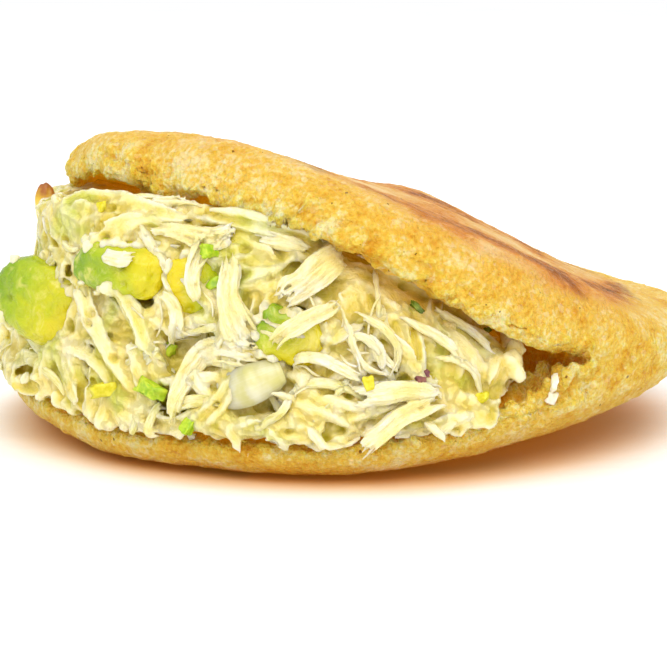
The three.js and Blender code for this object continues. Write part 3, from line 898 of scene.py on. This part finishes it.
# Lumps of crumb that stand out along the lips and bridge the crack: mm right, mm up, mm proud, half-size
NUGGETS = [(7, 8.5, 0, 1.5), (9.5, 10, 0, 1.3), (11.5, 8.6, 0, 1.2), (-3, 17, 0, 1.6), (-9, 19, 0, 1.5),
           (-16, 23.5, 0, 1.4), (33, -6.6, 3, 1.2), (35.5, -5.6, 4, 1.3), (38, -6.2, 3, 1.4),
           (41, -5.6, 4, 1.2),
           (44, -5.2, 2, 1.1), (31, -8.6, 1, 1.3), (36.5, -7.8, 1, 1.3), (33.5, -9, 0.5, 1.2),
           (39.5, -7.2, 1, 1.2), (42.5, -6.4, 1, 1.1), (30.5, -3.2, 2, 1.3), (32.2, -6.2, 3, 1.1),
           (35.2, -3.4, 2, 1.1), (38.4, -5.2, 4, 0.9), (31.4, -7.4, 3, 1.0), (37.2, -4.2, 3, 1.2),
           (33.2, -4, 2, 1.2), (40, -4.4, 3, 1.1)]
# How many mm lower the flap's lip hangs, and how many mm the crack closes, by mm right
LIP_HANGS = [(-48, 2.4), (-43, 2.2), (-40, 0.3), (-34, 0), (-29.5, 3), (-24, 3.8), (-17.5, 4.2), (-10, 2.4),
             (-5, 0.8), (0, 0)]
CRACK_CLOSES = [(22, 0), (28, 1.5), (34, 2.1), (39, 1.4), (44, 0)]


HANGING_EDGE = (CAKE_RADIUS - 22, CAKE_RADIUS - 9)  # mm from the middle, where the hanging starts and is full
STIFF_ABOVE = (0.5, 7.5)  # mm above the cut, where the flap hangs less, and not at all
LIP_ABOVE_CUT, LIP_ABOVE_TABLE = -2.5, 22  # mm: the lip is what lies above both
CRACK_TOP = (-1.2, 1.5)  # mm above the cut, where the upper half of the crack starts, and is all there


def hung(places):
    """Lets the flap's lip hang on the filling, and sets the cake flat on the table."""
    flat, _ = unbent(places)
    right, _, _ = in_view(places)
    edge = smooth(*HANGING_EDGE, np.hypot(flat[:, 0], flat[:, 1]))
    edge = edge * (1 - smooth(*STIFF_ABOVE, flat[:, 2])) * (places[:, 1] < CAKE_MIDDLE.y)
    lip = (flat[:, 2] > LIP_ABOVE_CUT) * (places[:, 2] > LIP_ABOVE_TABLE)
    crack = smooth(*CRACK_TOP, flat[:, 2])
    lower = places.copy()
    hangs, closes = (np.interp(right, *np.array(table).T) for table in (LIP_HANGS, CRACK_CLOSES))
    lower[:, 2] -= edge * (lip * hangs + crack * closes)
    lower[:, 2] = np.maximum(lower[:, 2], 0)
    return lower


def make_cake(material):
    rng = np.random.default_rng(11)
    cake = melted(piece("griddled_corn_cake", merged_copy("corn_cake")), 0.8, 4)
    torn = mark_cake(cake.data)
    places, normals = places_of(cake.data), normals_of(cake.data)
    chosen = rng.choice(np.flatnonzero(torn > 0.6), CRUMBS, replace=False)
    sizes = rng.uniform(0.5, 1.0, (CRUMBS, 3)) * rng.uniform(0.5, 1.7, (CRUMBS, 1)) ** 1.2
    spots = places[chosen] - normals[chosen] * sizes.mean(axis=1)[:, None] * 0.15
    crumbs = lumps("crumbs", spots, sizes, rng, 0.5)
    reach = [dough.ray_cast(EYE, sight(right, up))[3] or VIEW_DISTANCE for right, up, _, _ in NUGGETS]
    spots = [EYE + sight(right, up) * (far - proud) for far, (right, up, proud, _) in zip(reach, NUGGETS)]
    shapes = [(size, size * 0.8, size * 0.9) for _, _, _, size in NUGGETS]
    nuggets = lumps("nuggets", spots, shapes, rng, 0.5)
    cake.data = joined("griddled_corn_cake", [cake.data, crumbs, nuggets])
    melted(cake, 0.55, 3)
    mark_cake(cake.data)
    with_tree(cake, crumbling_tree(), {"Material": material})
    place_all(cake.data, hung(places_of(cake.data)))
    thinned(cake)
    return finished(cake, "corn_cake", "corn_cake")


cake = make_cake(corn_dough())

# ---------------------------------------------------------------- the filling
# Lines over the front, each place as mm right, mm up, mm proud and half-width.
CLEAN_SHREDS = {
    "dab": [(-41, 14.5, 2, 0.7), (-38.5, 13.2, 2.8, 1.1), (-35.5, 12.6, 2.8, 1.2), (-33, 13.4, 2, 0.7)],
    "hooked": [(-33.5, 25.5, 1.6, 0.4), (-31.5, 23, 1.6, 0.9), (-29.5, 22, 1.4, 1.2), (-25, 22, 1.2, 1.3),
               (-20.5, 20.5, 0.6, 1)],
    "forked": [(-32, 17, 1.6, 1.1), (-28.5, 17.5, 1.8, 0.9), (-25, 17, 1.8, 1.3), (-22, 16, 1.7, 1.9),
               (-19, 16.5, 1.5, 1.6), (-16.5, 18, 1.3, 1.2), (-14.5, 19, 0.8, 0.9)],
    "fork_tail": [(-18.5, 16.5, 1.3, 0.9), (-21.5, 15.5, 1.7, 1.6), (-23.5, 12, 2, 1.2), (-24, 9, 2, 1),
                  (-23.5, 6.5, 1.8, 0.8), (-22.5, 5, 1.3, 0.4)],
    "dropping": [(-30, 7.5, 1.2, 0.7), (-27.5, 5.5, 1.4, 1), (-26.5, 2.5, 1.4, 1), (-27, -0.5, 1.2, 1.1),
                 (-25.5, -2.5, 0.8, 1.2)],
    "upright": [(-18, 15.5, 0.8, 1.1), (-17.5, 12, 1.2, 1.5), (-18, 7.5, 1.5, 1.5), (-17.5, 4.5, 1.8, 1.9),
                (-16, 1, 1.8, 2.6), (-14, -2, 1.7, 2.6), (-11, -5, 1.6, 1.4)],
    "arching": [(-10, -5, 1.6, 1.2), (-14, -4, 2, 2.2), (-19, -3, 2, 2.2), (-22, -3.5, 1.8, 2),
                (-24, -6, 1.7, 1.8), (-25.5, -8.5, 1.5, 1.5), (-27, -11.5, 1.4, 1.2),
                (-27.5, -14.5, 1.4, 0.9),
                (-27.5, -16.5, 0.8, 0.4)],
    "chunky": [(-9.5, 5, 1.2, 1.4), (-7.5, 7, 1.8, 2.1), (-5, 8.5, 2.2, 2.1), (-2, 11, 2.2, 2.5),
               (0.5, 13, 1.9, 2.2),
               (2, 14, 1.2, 1.5)],
    "tucked": [(-15.5, 17, 0.6, 0.9), (-11, 16, 0.9, 1.2), (-6.5, 15, 0.7, 1.1), (-3.5, 14, 0.3, 0.7)],
    "leaning": [(-11, -3, 1.2, 1.0), (-9, -0.5, 1.8, 1.2), (-6, 1.5, 2.2, 1.3), (-3.5, 3, 2, 1.2),
                (-1, 4, 1.6, 1),
                (2, 6.5, 0.9, 0.6)],
    "long": [(-8.5, -5.5, 1.2, 0.7), (-5, -4, 1.7, 0.8), (-1.5, -4.5, 1.7, 0.8), (2.5, -6.5, 1.5, 0.8),
             (6.5, -8.5, 1, 0.5)],
    "fanned": [(19, -10.5, 1, 1.0), (15.5, -9.8, 1.6, 1.3), (12, -9.6, 2, 1.5), (8.5, -10, 2, 1.8),
               (5.5, -10.3, 1.5, 1.9), (2, -11, 0.8, 1.7)],
    "square": [(19.5, -10.5, 1, 1.1), (15.5, -12.3, 1.8, 1.4), (11.5, -14, 2.2, 1.5), (8.5, -16.5, 2.2, 1.5),
               (5.5, -18.8, 2, 1.5), (3, -21.5, 1.8, 1.6)],
    "web_high": [(3, 3.5, 0.8, 0.5), (6, 2.5, 1.4, 0.6), (9, 0.5, 1.6, 0.6), (11, -2.5, 1.4, 0.5),
                 (10.5, -6, 0.6, 0.4)],
    "web_low": [(0, -1.5, 0.6, 0.5), (4, -0.5, 1.4, 0.6), (7, -2, 1.6, 0.6), (9, -4.5, 1.4, 0.5),
                (12, -7, 0.6, 0.4)],
    "web_right": [(11, 3, 0.8, 0.5), (15, 1, 1.4, 0.6), (19, -1.5, 1.4, 0.7), (22, -4.5, 0.8, 0.5)],
    "web_end": [(16, 5, 0.6, 0.5), (20, 2.5, 1.2, 0.7), (24, 0, 1.4, 0.7), (28, -4, 0.8, 0.5)],
    "web_deep": [(1, 4.5, 0.8, 0.5), (2.5, 1, 1.4, 0.6), (3.5, -2.5, 1.6, 0.6), (6, -6, 1.4, 0.5),
                 (10, -7.5, 0.6, 0.4)],
}
COATED_SHREDS = {
    "oval": [(-40.5, 15.5, 0.8, 1.2), (-39, 16.5, 1.4, 2), (-37, 17.5, 1.6, 2), (-35, 19, 1.4, 1.3),
             (-32, 19.5, 1, 0.6), (-29.5, 18.5, 0.6, 0.5)],
    "left_edge": [(-43.5, 12, 2, 1.2), (-43, 8, 3.4, 1.4), (-41.5, 3, 3, 1.4), (-39, -2, 1.8, 1.2),
                  (-36, -7, 1, 1.1), (-33, -11, 0.8, 1)],
    "left_low": [(-49.5, -2, 0.6, 0.8), (-46, -2, 1, 1), (-43, -3, 1.2, 1), (-40.5, -4.5, 1.2, 1.1),
                 (-38.5, -7.5, 1, 1), (-37, -11.5, 0.6, 0.8)],
    "left_inner": [(-39.5, 11.5, 0.9, 0.9), (-37, 9, 1.4, 1.2), (-35, 5.5, 1.4, 1.5), (-33, 1.5, 1.3, 1.5),
                   (-31.5, -3, 1.1, 1.3), (-29, -5.5, 0.8, 1)],
    "right_long": [(6, 2, 0.8, 0.9), (9, 0, 1.4, 0.9), (12.5, -3, 1.4, 0.8), (14, -6, 0.8, 0.7)],
    "right_short": [(5.5, 0, 0.8, 0.9), (7.5, -3, 1.4, 1), (8.5, -7, 1, 0.8)],
    "right_bridge": [(-0.5, -2.5, 0.6, 0.6), (1, -1, 1, 0.7), (3, 0.5, 1.4, 0.7), (6, 1, 1, 0.6)],
    "lip_left": [(-27, 21, 1, 1.2), (-19, 20, 2, 1.7), (-12, 18.6, 2.5, 1.8), (-4, 16.2, 2.5, 1.8),
                 (3, 13.4, 2, 1.6)],
    "lip_right": [(2, 13.2, 2, 1.6), (8, 10.8, 2.5, 1.8), (13, 8.4, 2.5, 1.8), (18.5, 5.2, 2.5, 1.8),
                  (25, 2, 2, 1.6), (29, 0, 1, 1.4)],
    "top": [(-46.5, 22, 0.6, 1.5), (-41.5, 22.5, 1, 2), (-35.5, 22, 1, 1.8), (-29.5, 20.5, 1, 1.6),
            (-22.5, 19.5, 0.8, 1.4)],
    "drip_left": [(-18.5, -14.5, 0.8, 1), (-17, -17.5, 1.4, 0.8), (-15.5, -20.5, 1.4, 0.3)],
    "drip_hooked": [(-5.5, -15.5, 0.8, 1.2), (-3.5, -17.5, 1.4, 0.8), (-1.5, -19.5, 1.6, 0.6),
                    (0.5, -19.5, 1.6, 0.3)],
    "drip_right": [(14.5, -14.5, 1, 0.9), (18, -17, 1.4, 0.6), (19.5, -19.5, 1.2, 0.2)],
    "drip_middle": [(-12, -16, 0.8, 1), (-10.5, -18, 1.2, 0.8), (-7.5, -19.5, 1.2, 0.4)],
}
THREADS = [
    [(-31.5, 28.5, 0.5, 0.2), (-31.5, 26.5, 0.8, 0.2), (-32, 24.5, 0.8, 0.2)],
    [(-30, 27.5, 0.5, 0.2), (-30, 25.5, 0.8, 0.2), (-30, 23.5, 0.8, 0.2)],
    [(-26, 25.5, 0.3, 0.2), (-26, 24.5, 0.5, 0.2), (-26, 23, 0.5, 0.2)],
    [(3, -1, 1.2, 0.2), (4, -3.5, 1.8, 0.2), (4.5, -6.5, 1.2, 0.2)],
    [(8.5, 1, 1.2, 0.2), (11, -1, 1.8, 0.2), (11.5, -4, 1.2, 0.2)],
    [(2, -2, 1.2, 0.2), (4, -3, 1.8, 0.2), (6.5, -3, 1.2, 0.2)],
    [(-4.5, 6.5, 2, 0.2), (-3.5, 5, 2.4, 0.2), (-3, 4, 2, 0.2)],
    [(10.5, -2, 1.2, 0.2), (11, -4.5, 1.8, 0.2), (10, -7, 1.2, 0.2)],
    [(1, -3, 1.2, 0.2), (2.5, -5, 1.8, 0.2), (5, -5.5, 1.2, 0.2)],
    [(-22, 7.5, 1, 0.2), (-20.5, 5, 1.6, 0.2), (-20.5, 2, 1, 0.2)],
]
SKIN_TIP = [(-49, 26, 1, 0.7), (-49, 24, 1.6, 1.3), (-49, 21.5, 1.6, 1.3), (-48.5, 19, 1.2, 1.2),
            (-48, 17, 0.6, 0.9)]
ONION_SLICE = [(-19.5, -10.6, 0.0, 1.9), (-17.5, -10, 0.5, 2.8), (-15, -9, 0.8, 3.2), (-12.5, -8, 0.8, 3.0),
               (-10, -6.9, 0.6, 2.5), (-8.5, -6.3, 0.1, 1.7)]


def open_spots():
    """Places on the filling that are open to the air, and away from the avocado, with the way out of each."""
    core = melted(piece("core", merged_copy("chicken_salad")), 1.0, 2)
    place_all(core.data, tucked(places_of(core.data)))
    places, normals = places_of(core.data), normals_of(core.data)
    spots = []
    for place, out in zip(places, normals):
        place, out = Vector(place), Vector(out)
        covered = dough.ray_cast(place + out * 0.3, out, 5)[0] or fruit.ray_cast(place + out * 0.2, out, 6)[0]
        spots.append(not covered)
    return core, places, normals, np.array(spots)


# Each dice of avocado: which way it is green, how far it is turned in degrees, how it is stretched and how it
# is shifted in mm
AVOCADO_DICE = {
    "avocado_outer": ((-0.9, -0.1, 0.4), 36, (1.22, 1.1, 0.97), (2.0, -2.0, 0.0)),
    "avocado_upper": ((-0.9, -0.2, -0.2), 0, (1.3, 1.0, 1.0), (-1.5, -0.6, 0.6)),
    "avocado_inner": ((0.9, -0.3, -0.2), 0, (1.8, 1.0, 1.3), (1.0, -0.4, 0.5)),
    "avocado_middle": ((-0.7, -0.2, 0.6), 0, (1.05, 1.0, 1.0), (0.0, -0.3, 0.0)),
}


def make_dice():
    """The diced avocado, its corners rubbed round and its faces dented by the folding."""
    pieces = []
    for node, (towards, turn, stretch, shift) in AVOCADO_DICE.items():
        dice = melted(piece("diced_" + node, merged_copy(node)), 0.36, 3)
        places = places_of(dice.data)
        middle = places.mean(axis=0)
        turned = (places - middle) @ np.array(Matrix.Rotation(math.radians(-turn), 3, "Z"))
        place_all(dice.data, middle + turned * stretch + shift)
        sizes = {"Lumps": 1.4 * MM, "Lump size": 3.4 * MM, "Grain": 0.5 * MM, "Grain size": 1.2 * MM}
        sizes.update({"Pits": 0.6 * MM, "Pit spacing": 3.4 * MM, "Pitted share": 0.35, "Hollow rounds": 40})
        with_tree(dice, UNEVEN, {**sizes, "Material": ripe_avocado()})
        reach = places_of(dice.data) @ np.array(Vector(towards).normalized())
        low, high = np.percentile(reach, [4, 96])
        keep(dice.data, "rind", np.clip((reach - low) / (high - low), 0, 1) ** 1.4)
        pieces.append(finished(thinned(dice), "avocado", node).data)
    return pieces


dice = make_dice()
fruit = surface_of(dice)
core, core_places, core_normals, is_open = open_spots()


def scattered_lines(count, seed, longest, widest, proud):
    """Lines at random over the open filling."""
    rng = np.random.default_rng(seed)
    lines = []
    for index in rng.choice(np.flatnonzero(is_open), count, replace=False):
        spot = (Vector(core_places[index]), Vector(core_normals[index]))
        heading = Vector(rng.normal(0, 1, 3)) + VIEW_RIGHT * rng.normal(0, 0.8)
        length = longest * rng.uniform(0.4, 1)
        ends = rng.choice([-1.4, -0.8, 0.4, 1.0], 2, p=[0.45, 0.35, 0.15, 0.05]) + proud
        wide = widest * rng.uniform(0.35, 1)
        rise = proud + rng.uniform(-0.3, 0.4)
        lines.append(along_heap(spot, heading, length, rng.normal(0, 0.09), rise, ends, wide))
    return lines


COATED_LINES, CREAM_LUMPS, DICE_SMEARS = 420, 420, 34
LOOSE_LINES, LOOSE_FIBRES, SAUCED_LINES = 16, 40, 70
# Dollops of cream at the end of the filling, in the mouth of the crack: mm right, mm up, half-size
END_DOLLOPS = [(29.4, 1.4, 1.4), (30, -0.8, 1.6), (31, -2.8, 1.5), (30.4, -4.8, 1.7), (31.2, -6.8, 1.3)]


def buried_in_heap(place):
    """How many mm a place lies under the even skin of the filling."""
    nearest, out, *_ = heap.find_nearest(Vector(place))
    return (nearest - Vector(place)).dot(out)


def rim_of(mesh, count, rng):
    """Random places along the edge of a piece as seen from the front, where the cream closes over it."""
    facing = normals_of(mesh) @ np.array(VIEW_BACK)
    return places_of(mesh)[rng.choice(np.flatnonzero((facing > 0.05) & (facing < 0.5)), count, replace=False)]


def make_cream(material):
    """The cream: a sunk core, with shreds and lumps over it, all run together under one coat."""
    rng = np.random.default_rng(5)
    sunk = np.array([noise.noise(Vector(place) / 7) for place in core_places])
    depth = np.where(is_open, 0.8 + 3.2 * np.clip(sunk, 0, 0.7), 0.3)
    place_all(core.data, core_places - core_normals * depth[:, None])
    lines = [over_front(path) for path in COATED_SHREDS.values()]
    lines += scattered_lines(COATED_LINES, 21, 20, 1.7, -0.2)
    coated = piece("coated", guide_mesh("coated", lines, 4.6, 0.8))
    sizes = {"Fibre radius": 0.38 * MM, "Wander": 0.9 * MM, "Ragged": 0.25, "Sides": 6, "Material": material}
    with_tree(coated, SHREDDING, sizes)
    chosen = rng.choice(np.flatnonzero(is_open), CREAM_LUMPS, replace=False)
    shapes = rng.uniform(0.6, 1.1, (CREAM_LUMPS, 3)) * rng.uniform(0.6, 1.55, (CREAM_LUMPS, 1)) ** 2
    spots = core_places[chosen] - core_normals[chosen] * (shapes.mean(axis=1) * 0.6)[:, None]
    dollops = lumps("dollops", spots, shapes, rng, 0.5)
    edges = np.concatenate([rim_of(mesh, DICE_SMEARS, rng) for mesh in dice])
    smears = lumps("smears", edges, rng.uniform(0.5, 1.3, (len(edges), 3)), rng, 0.5)
    reach = [heap.ray_cast(EYE, sight(27, up))[3] or VIEW_DISTANCE for _, up, _ in END_DOLLOPS]
    spots = [EYE + sight(right, up) * (far + 1.5) for far, (right, up, _) in zip(reach, END_DOLLOPS)]
    ends = lumps("ends", spots, [(size, size, size * 1.2) for _, _, size in END_DOLLOPS], rng, 0.5)
    parts = [core.data, coated.data, dollops, smears, ends]
    cream = piece("creamy_chicken_salad", joined("creamy_chicken_salad", parts))
    for part in (core, coated):
        bpy.data.objects.remove(part)
    melted(cream, 0.38, 3)
    sizes = {"Lumps": 0.7 * MM, "Lump size": 2.2 * MM, "Grain": 0.25 * MM, "Grain size": 0.9 * MM}
    sizes.update({"Pits": 0.9 * MM, "Pit spacing": 4 * MM, "Pitted share": 0.25, "Hollow rounds": 40})
    with_tree(cream, UNEVEN, {**sizes, "Material": material})
    thinned(cream)
    keep(cream.data, "buried", [buried_in_heap(place) * MM for place in places_of(cream.data)])
    mark_strands(cream.data, lines)
    return finished(cream, "chicken_salad", "chicken_salad")


def make_shreds(name, lines, material, *nodes):
    """Bundles of meat fibres along some lines, run together just enough to keep their grooves."""
    shreds = piece(name, guide_mesh(name, lines, 11, 0.85))
    sizes = {"Fibre radius": 0.25 * MM, "Wander": 1.0 * MM, "Wander size": 4 * MM, "Ragged": 0.22}
    with_tree(shreds, SHREDDING, {**sizes, "Taper": 0.05, "Sides": 6, "Material": material})
    melted(shreds, 0.25, 2)
    sizes = {"Lumps": 0.2 * MM, "Lump size": 2 * MM, "Grain": 0.1 * MM, "Grain size": 0.7 * MM}
    with_tree(shreds, UNEVEN, {**sizes, "Pits": 0.0, "Hollow rounds": 10, "Material": material})
    thinned(shreds)
    mark_strands(shreds.data, lines)
    return finished(shreds, "chicken", *nodes)


def make_threads(material):
    """Single fibres that hang from the flap and span the hollows."""
    lines = [over_front(path, 14) for path in THREADS]
    lines += scattered_lines(LOOSE_FIBRES, 55, 12, 0.2, 0.7)
    threads = piece("loose_chicken_fibres", guide_mesh("loose_chicken_fibres", lines, 5, 0.2))
    sizes = {"Fibre radius": 0.18 * MM, "Wander": 1.2 * MM, "Wander size": 4 * MM, "Ragged": 0.1}
    with_tree(threads, SHREDDING, {**sizes, "Taper": -0.5, "Sides": 6, "Seed": 9, "Material": material})
    threads.data.shade_smooth()
    mark_strands(threads.data, lines)
    return finished(threads, "chicken")


def make_skin_tip(material):
    """The browned tip of skin that stands up at the left, its line kept at one depth."""
    line = over_front(SKIN_TIP)
    depth = (line["points"][len(line["points"]) // 3] - EYE).dot(-VIEW_BACK)
    line["points"] = [EYE - up * depth / up.dot(VIEW_BACK) for up in line["ups"]]
    tip = piece("roasted_skin_tip", guide_mesh("roasted_skin_tip", [line], 3, 0.8))
    sizes = {"Fibre radius": 0.8 * MM, "Wander": 0.6 * MM, "Wander size": 3 * MM, "Ragged": 0.05}
    with_tree(tip, SHREDDING, {**sizes, "Taper": 0.5, "Material": material})
    melted(tip, 0.25, 4)
    return finished(thinned(tip), "chicken")


def ribbon(name, line, thick, sides=16):
    """A closed flat strip along a line, domed across like a layer of onion."""
    points = np.array([point[:] for point in line["points"]])
    ups = np.array([up[:] for up in line["ups"]])
    along = np.gradient(points, axis=0)
    side = np.cross(along, ups)
    side /= np.linalg.norm(side, axis=1)[:, None]
    turns = np.arange(sides) * math.tau / sides
    lanes = np.cos(turns)
    rows = []
    for point, up, aside, wide in zip(points, ups, side, line["wide"]):
        dome = -0.35 * wide * lanes**2
        height = thick * np.sin(turns) + dome
        rows.append(point + aside * (lanes * wide)[:, None] + up * height[:, None])
    count = len(rows)
    corner = np.arange(sides)
    faces = []
    for row in range(count - 1):
        start = row * sides
        quads = np.stack([corner, (corner + 1) % sides, (corner + 1) % sides + sides, corner + sides], axis=1)
        faces += (quads + start).tolist()
    faces += [corner[::-1].tolist(), (corner + (count - 1) * sides).tolist()]
    mesh = bpy.data.meshes.new(name)
    mesh.from_pydata((np.concatenate(rows) * MM).tolist(), [], faces)
    skin = bmesh.new()
    skin.from_mesh(mesh)
    bmesh.ops.recalc_face_normals(skin, faces=skin.faces)
    skin.to_mesh(mesh)
    skin.free()
    keep(mesh, "lane", np.tile(lanes, count))
    return mesh


def make_onion(material):
    onion = piece("onion_slice", ribbon("onion_slice", over_front(ONION_SLICE, 24), 0.35))
    onion.data.materials.append(material)
    rounder = onion.modifiers.new("rounder", "SUBSURF")
    rounder.levels = rounder.render_levels = 2
    settle(onion)
    onion.data.shade_smooth()
    return finished(onion, "onion", "onion_piece")


# Small bits on the front: their darkest and palest colour, then mm right, mm up, and half-sizes of each
BITS = {
    "green_avocado_bits": ("#8FB812", "#C9DA3E", [
        (-31, -9.5, (2.6, 1.2, 1.7)), (-24.5, -15.5, (1.5, 0.8, 1.0)), (-21, 14, (1.0, 0.6, 1.5)),
        (-20, 8.5, (0.8, 0.6, 1.6)), (-28, -2.5, (1.1, 0.7, 1.0))]),
    "yellow_avocado_bits": ("#CFC30C", "#E8DC4A", [
        (-38.5, -9.5, (1.0, 0.7, 2.0)), (-39.5, 21.5, (0.8, 0.6, 1.0)), (25, -11, (1.3, 0.7, 0.7)),
        (6, -8.5, (1.0, 0.6, 0.8))]),
    "herb_bits": ("#56701A", "#94A83A", [(14.5, 4, (1.7, 0.4, 0.6)), (26, 0.5, (0.8, 0.4, 0.7))]),
    "purple_onion_bits": ("#6E3A44", "#A06A5C", [(14.8, -7.9, (0.5, 0.4, 0.7)),
                                                 (15.8, -6.8, (0.6, 0.4, 0.4))]),
    "white_maize_bits": ("#E9E0C0", "#FAF4E0", [(-24, -17.5, (1.7, 0.6, 0.5)), (37.5, -8.5, (0.8, 0.5, 1.3)),
                                                (37, -11, (0.9, 0.5, 0.9))]),
}


def make_bits():
    """The small bits that lie on the front of the filling and the rim."""
    everything = surface_of([cream.data, cake.data, shreds.data, sauced.data] + dice)
    rng = np.random.default_rng(8)
    for name, (dark, pale, spots) in BITS.items():
        places = [everything.ray_cast(EYE, sight(right, up))[0] for right, up, _ in spots]
        bits = piece(name, lumps(name, places, [size for _, _, size in spots], rng, 0.5, 3, 0.45))
        bits.data.materials.append(chopped(name.replace("_", " "), dark, pale))
        bits.data.shade_smooth()
        finished(bits, "onion" if "onion" in name else "corn_cake" if "maize" in name else "avocado")


cream = make_cream(avocado_cream())

# Each meat's tones, then the colour of its painted shade in the grooves and hollows
bare_tones = [(0.33, "#F0DE90"), (0.48, "#F4E8B2"), (0.6, "#F8F0CC"), (0.75, "#FCF7E4")]
bare_meat = pulled_chicken("pulled boiled chicken breast", bare_tones, "#E6D28A")
sauced_tones = [(0.33, "#E8D87C"), (0.48, "#F1E5A6"), (0.6, "#F7EFC6"), (0.75, "#FCF6DE")]
sauced_meat = pulled_chicken("pulled chicken breast in avocado mayonnaise", sauced_tones, "#D8CA66")
bare_lines = [over_front(path) for path in CLEAN_SHREDS.values()]
bare_lines += scattered_lines(LOOSE_LINES, 34, 19, 0.8, 0.4)
shreds = make_shreds("pulled_chicken_shreds", bare_lines, bare_meat, *SHREDS)
sauced_lines = scattered_lines(SAUCED_LINES, 77, 22, 0.95, 0.1)
sauced = make_shreds("sauced_chicken_shreds", sauced_lines, sauced_meat)
make_threads(bare_meat)
make_skin_tip(roasted_skin())
make_onion(raw_onion())
make_bits()


# ---------------------------------------------------------------- the table, light and camera
TABLE_REACH = 6.0  # metres each way


# Painted board: smooth, matte and nearly white, with a faint grain.
def make_stage():
    flat = bpy.data.meshes.new("table")
    corners = [(TABLE_REACH * x, TABLE_REACH * y, 0) for x, y in ((-1, -1), (1, -1), (1, 1), (-1, 1))]
    flat.from_pydata(corners, [], [(0, 1, 2, 3)])
    table = piece("table", flat)
    material, t, place = new_material("pale painted board")
    stretched = add(t, "Mapping", {"Vector": place, "Scale": (6, 60, 1)})
    grain = add(t, "TexNoise", {"Vector": stretched, "Scale": 4.0, "Detail": 4.0})
    tone = add(t, "ValToRGB", {"Fac": grain}, stops=[(0.3, "#F9FAFC"), (0.7, "#FEFEFF")])
    open_air = add(t, "AmbientOcclusion", {"Distance": 0.016}, samples=6).outputs["AO"]
    # painted shadow: a warm tint on the board close under the cake, where the ambient occlusion finds little
    # open air
    shade = add(t, "MapRange", {"Value": open_air, "From Min": 0.64, "From Max": 0.08})
    painted_warm_shadow = add(t, "Mix", {"Factor": shade, "A": tone, "B": "#F0BE6C"}, data_type="RGBA")
    # painted glow: orange emission in that painted shadow, stronger towards the right, where the cake's
    # closed side curls up
    right = add(t, "SeparateXYZ", [place]).outputs["X"]
    glow_towards_right = {"Value": right, "From Min": -0.045, "From Max": 0.02, "To Min": 0.1, "To Max": 0.28}
    glow_towards_right = add(t, "MapRange", glow_towards_right)
    painted_floor_glow = add(t, "Math MULTIPLY", [shade, glow_towards_right])
    inputs = {"Base Color": painted_warm_shadow, "Roughness": 0.6, "Specular IOR Level": 0.0}
    inputs.update({"Emission Color": "#B06C10", "Emission Strength": painted_floor_glow})
    board = add(t, "BsdfPrincipled", inputs)
    add(t, "OutputMaterial", {"Surface": board})
    flat.materials.append(material)


def make_light(name, place, size, power, colour):
    data = bpy.data.lights.new(name, "AREA")
    data.shape, data.size, data.energy, data.color = "DISK", size, power, linear(colour)[:3]
    lamp = bpy.data.objects.new(name, data)
    lamp.location = place
    lamp.rotation_euler = (Vector((0, 0, 0.02)) - Vector(place)).to_track_quat("-Z", "Y").to_euler()
    bpy.context.scene.collection.objects.link(lamp)


def make_world(level, overhead):
    """A plain white room, a little brighter overhead than level with the table."""
    world = bpy.data.worlds.new("studio")
    world.use_nodes = True
    t = world.node_tree
    t.nodes.clear()
    way = add(t, "SeparateXYZ", [add(t, "TexCoord").outputs["Generated"]])
    bright = add(t, "MapRange", {"Value": way.outputs["Z"], "To Min": level, "To Max": overhead})
    room = add(t, "Background", {"Color": "#FFFFFF", "Strength": bright})
    add(t, "OutputWorld", {"Surface": room})
    bpy.context.scene.world = world


CAMERA_LENS, CAMERA_SENSOR = 143.0, 36.0


def make_camera():
    data = bpy.data.cameras.new("camera")
    data.lens, data.sensor_width = CAMERA_LENS, CAMERA_SENSOR
    data.clip_start, data.clip_end = 0.02, 20
    camera = bpy.data.objects.new("camera", data)
    camera.location = EYE * MM
    camera.rotation_euler = (-VIEW_BACK).to_track_quat("-Z", "Y").to_euler()
    bpy.context.scene.collection.objects.link(camera)
    bpy.context.scene.camera = camera


make_stage()
make_light("key", (-0.02, -0.64, 0.58), 0.7, 4.05, "#FFFAF2")
make_light("back", (0.15, 0.7, 0.6), 0.6, 2.2, "#FFFFFF")
make_world(0.7, 1.16)
make_camera()
bpy.context.scene.view_settings.view_transform = "Standard"
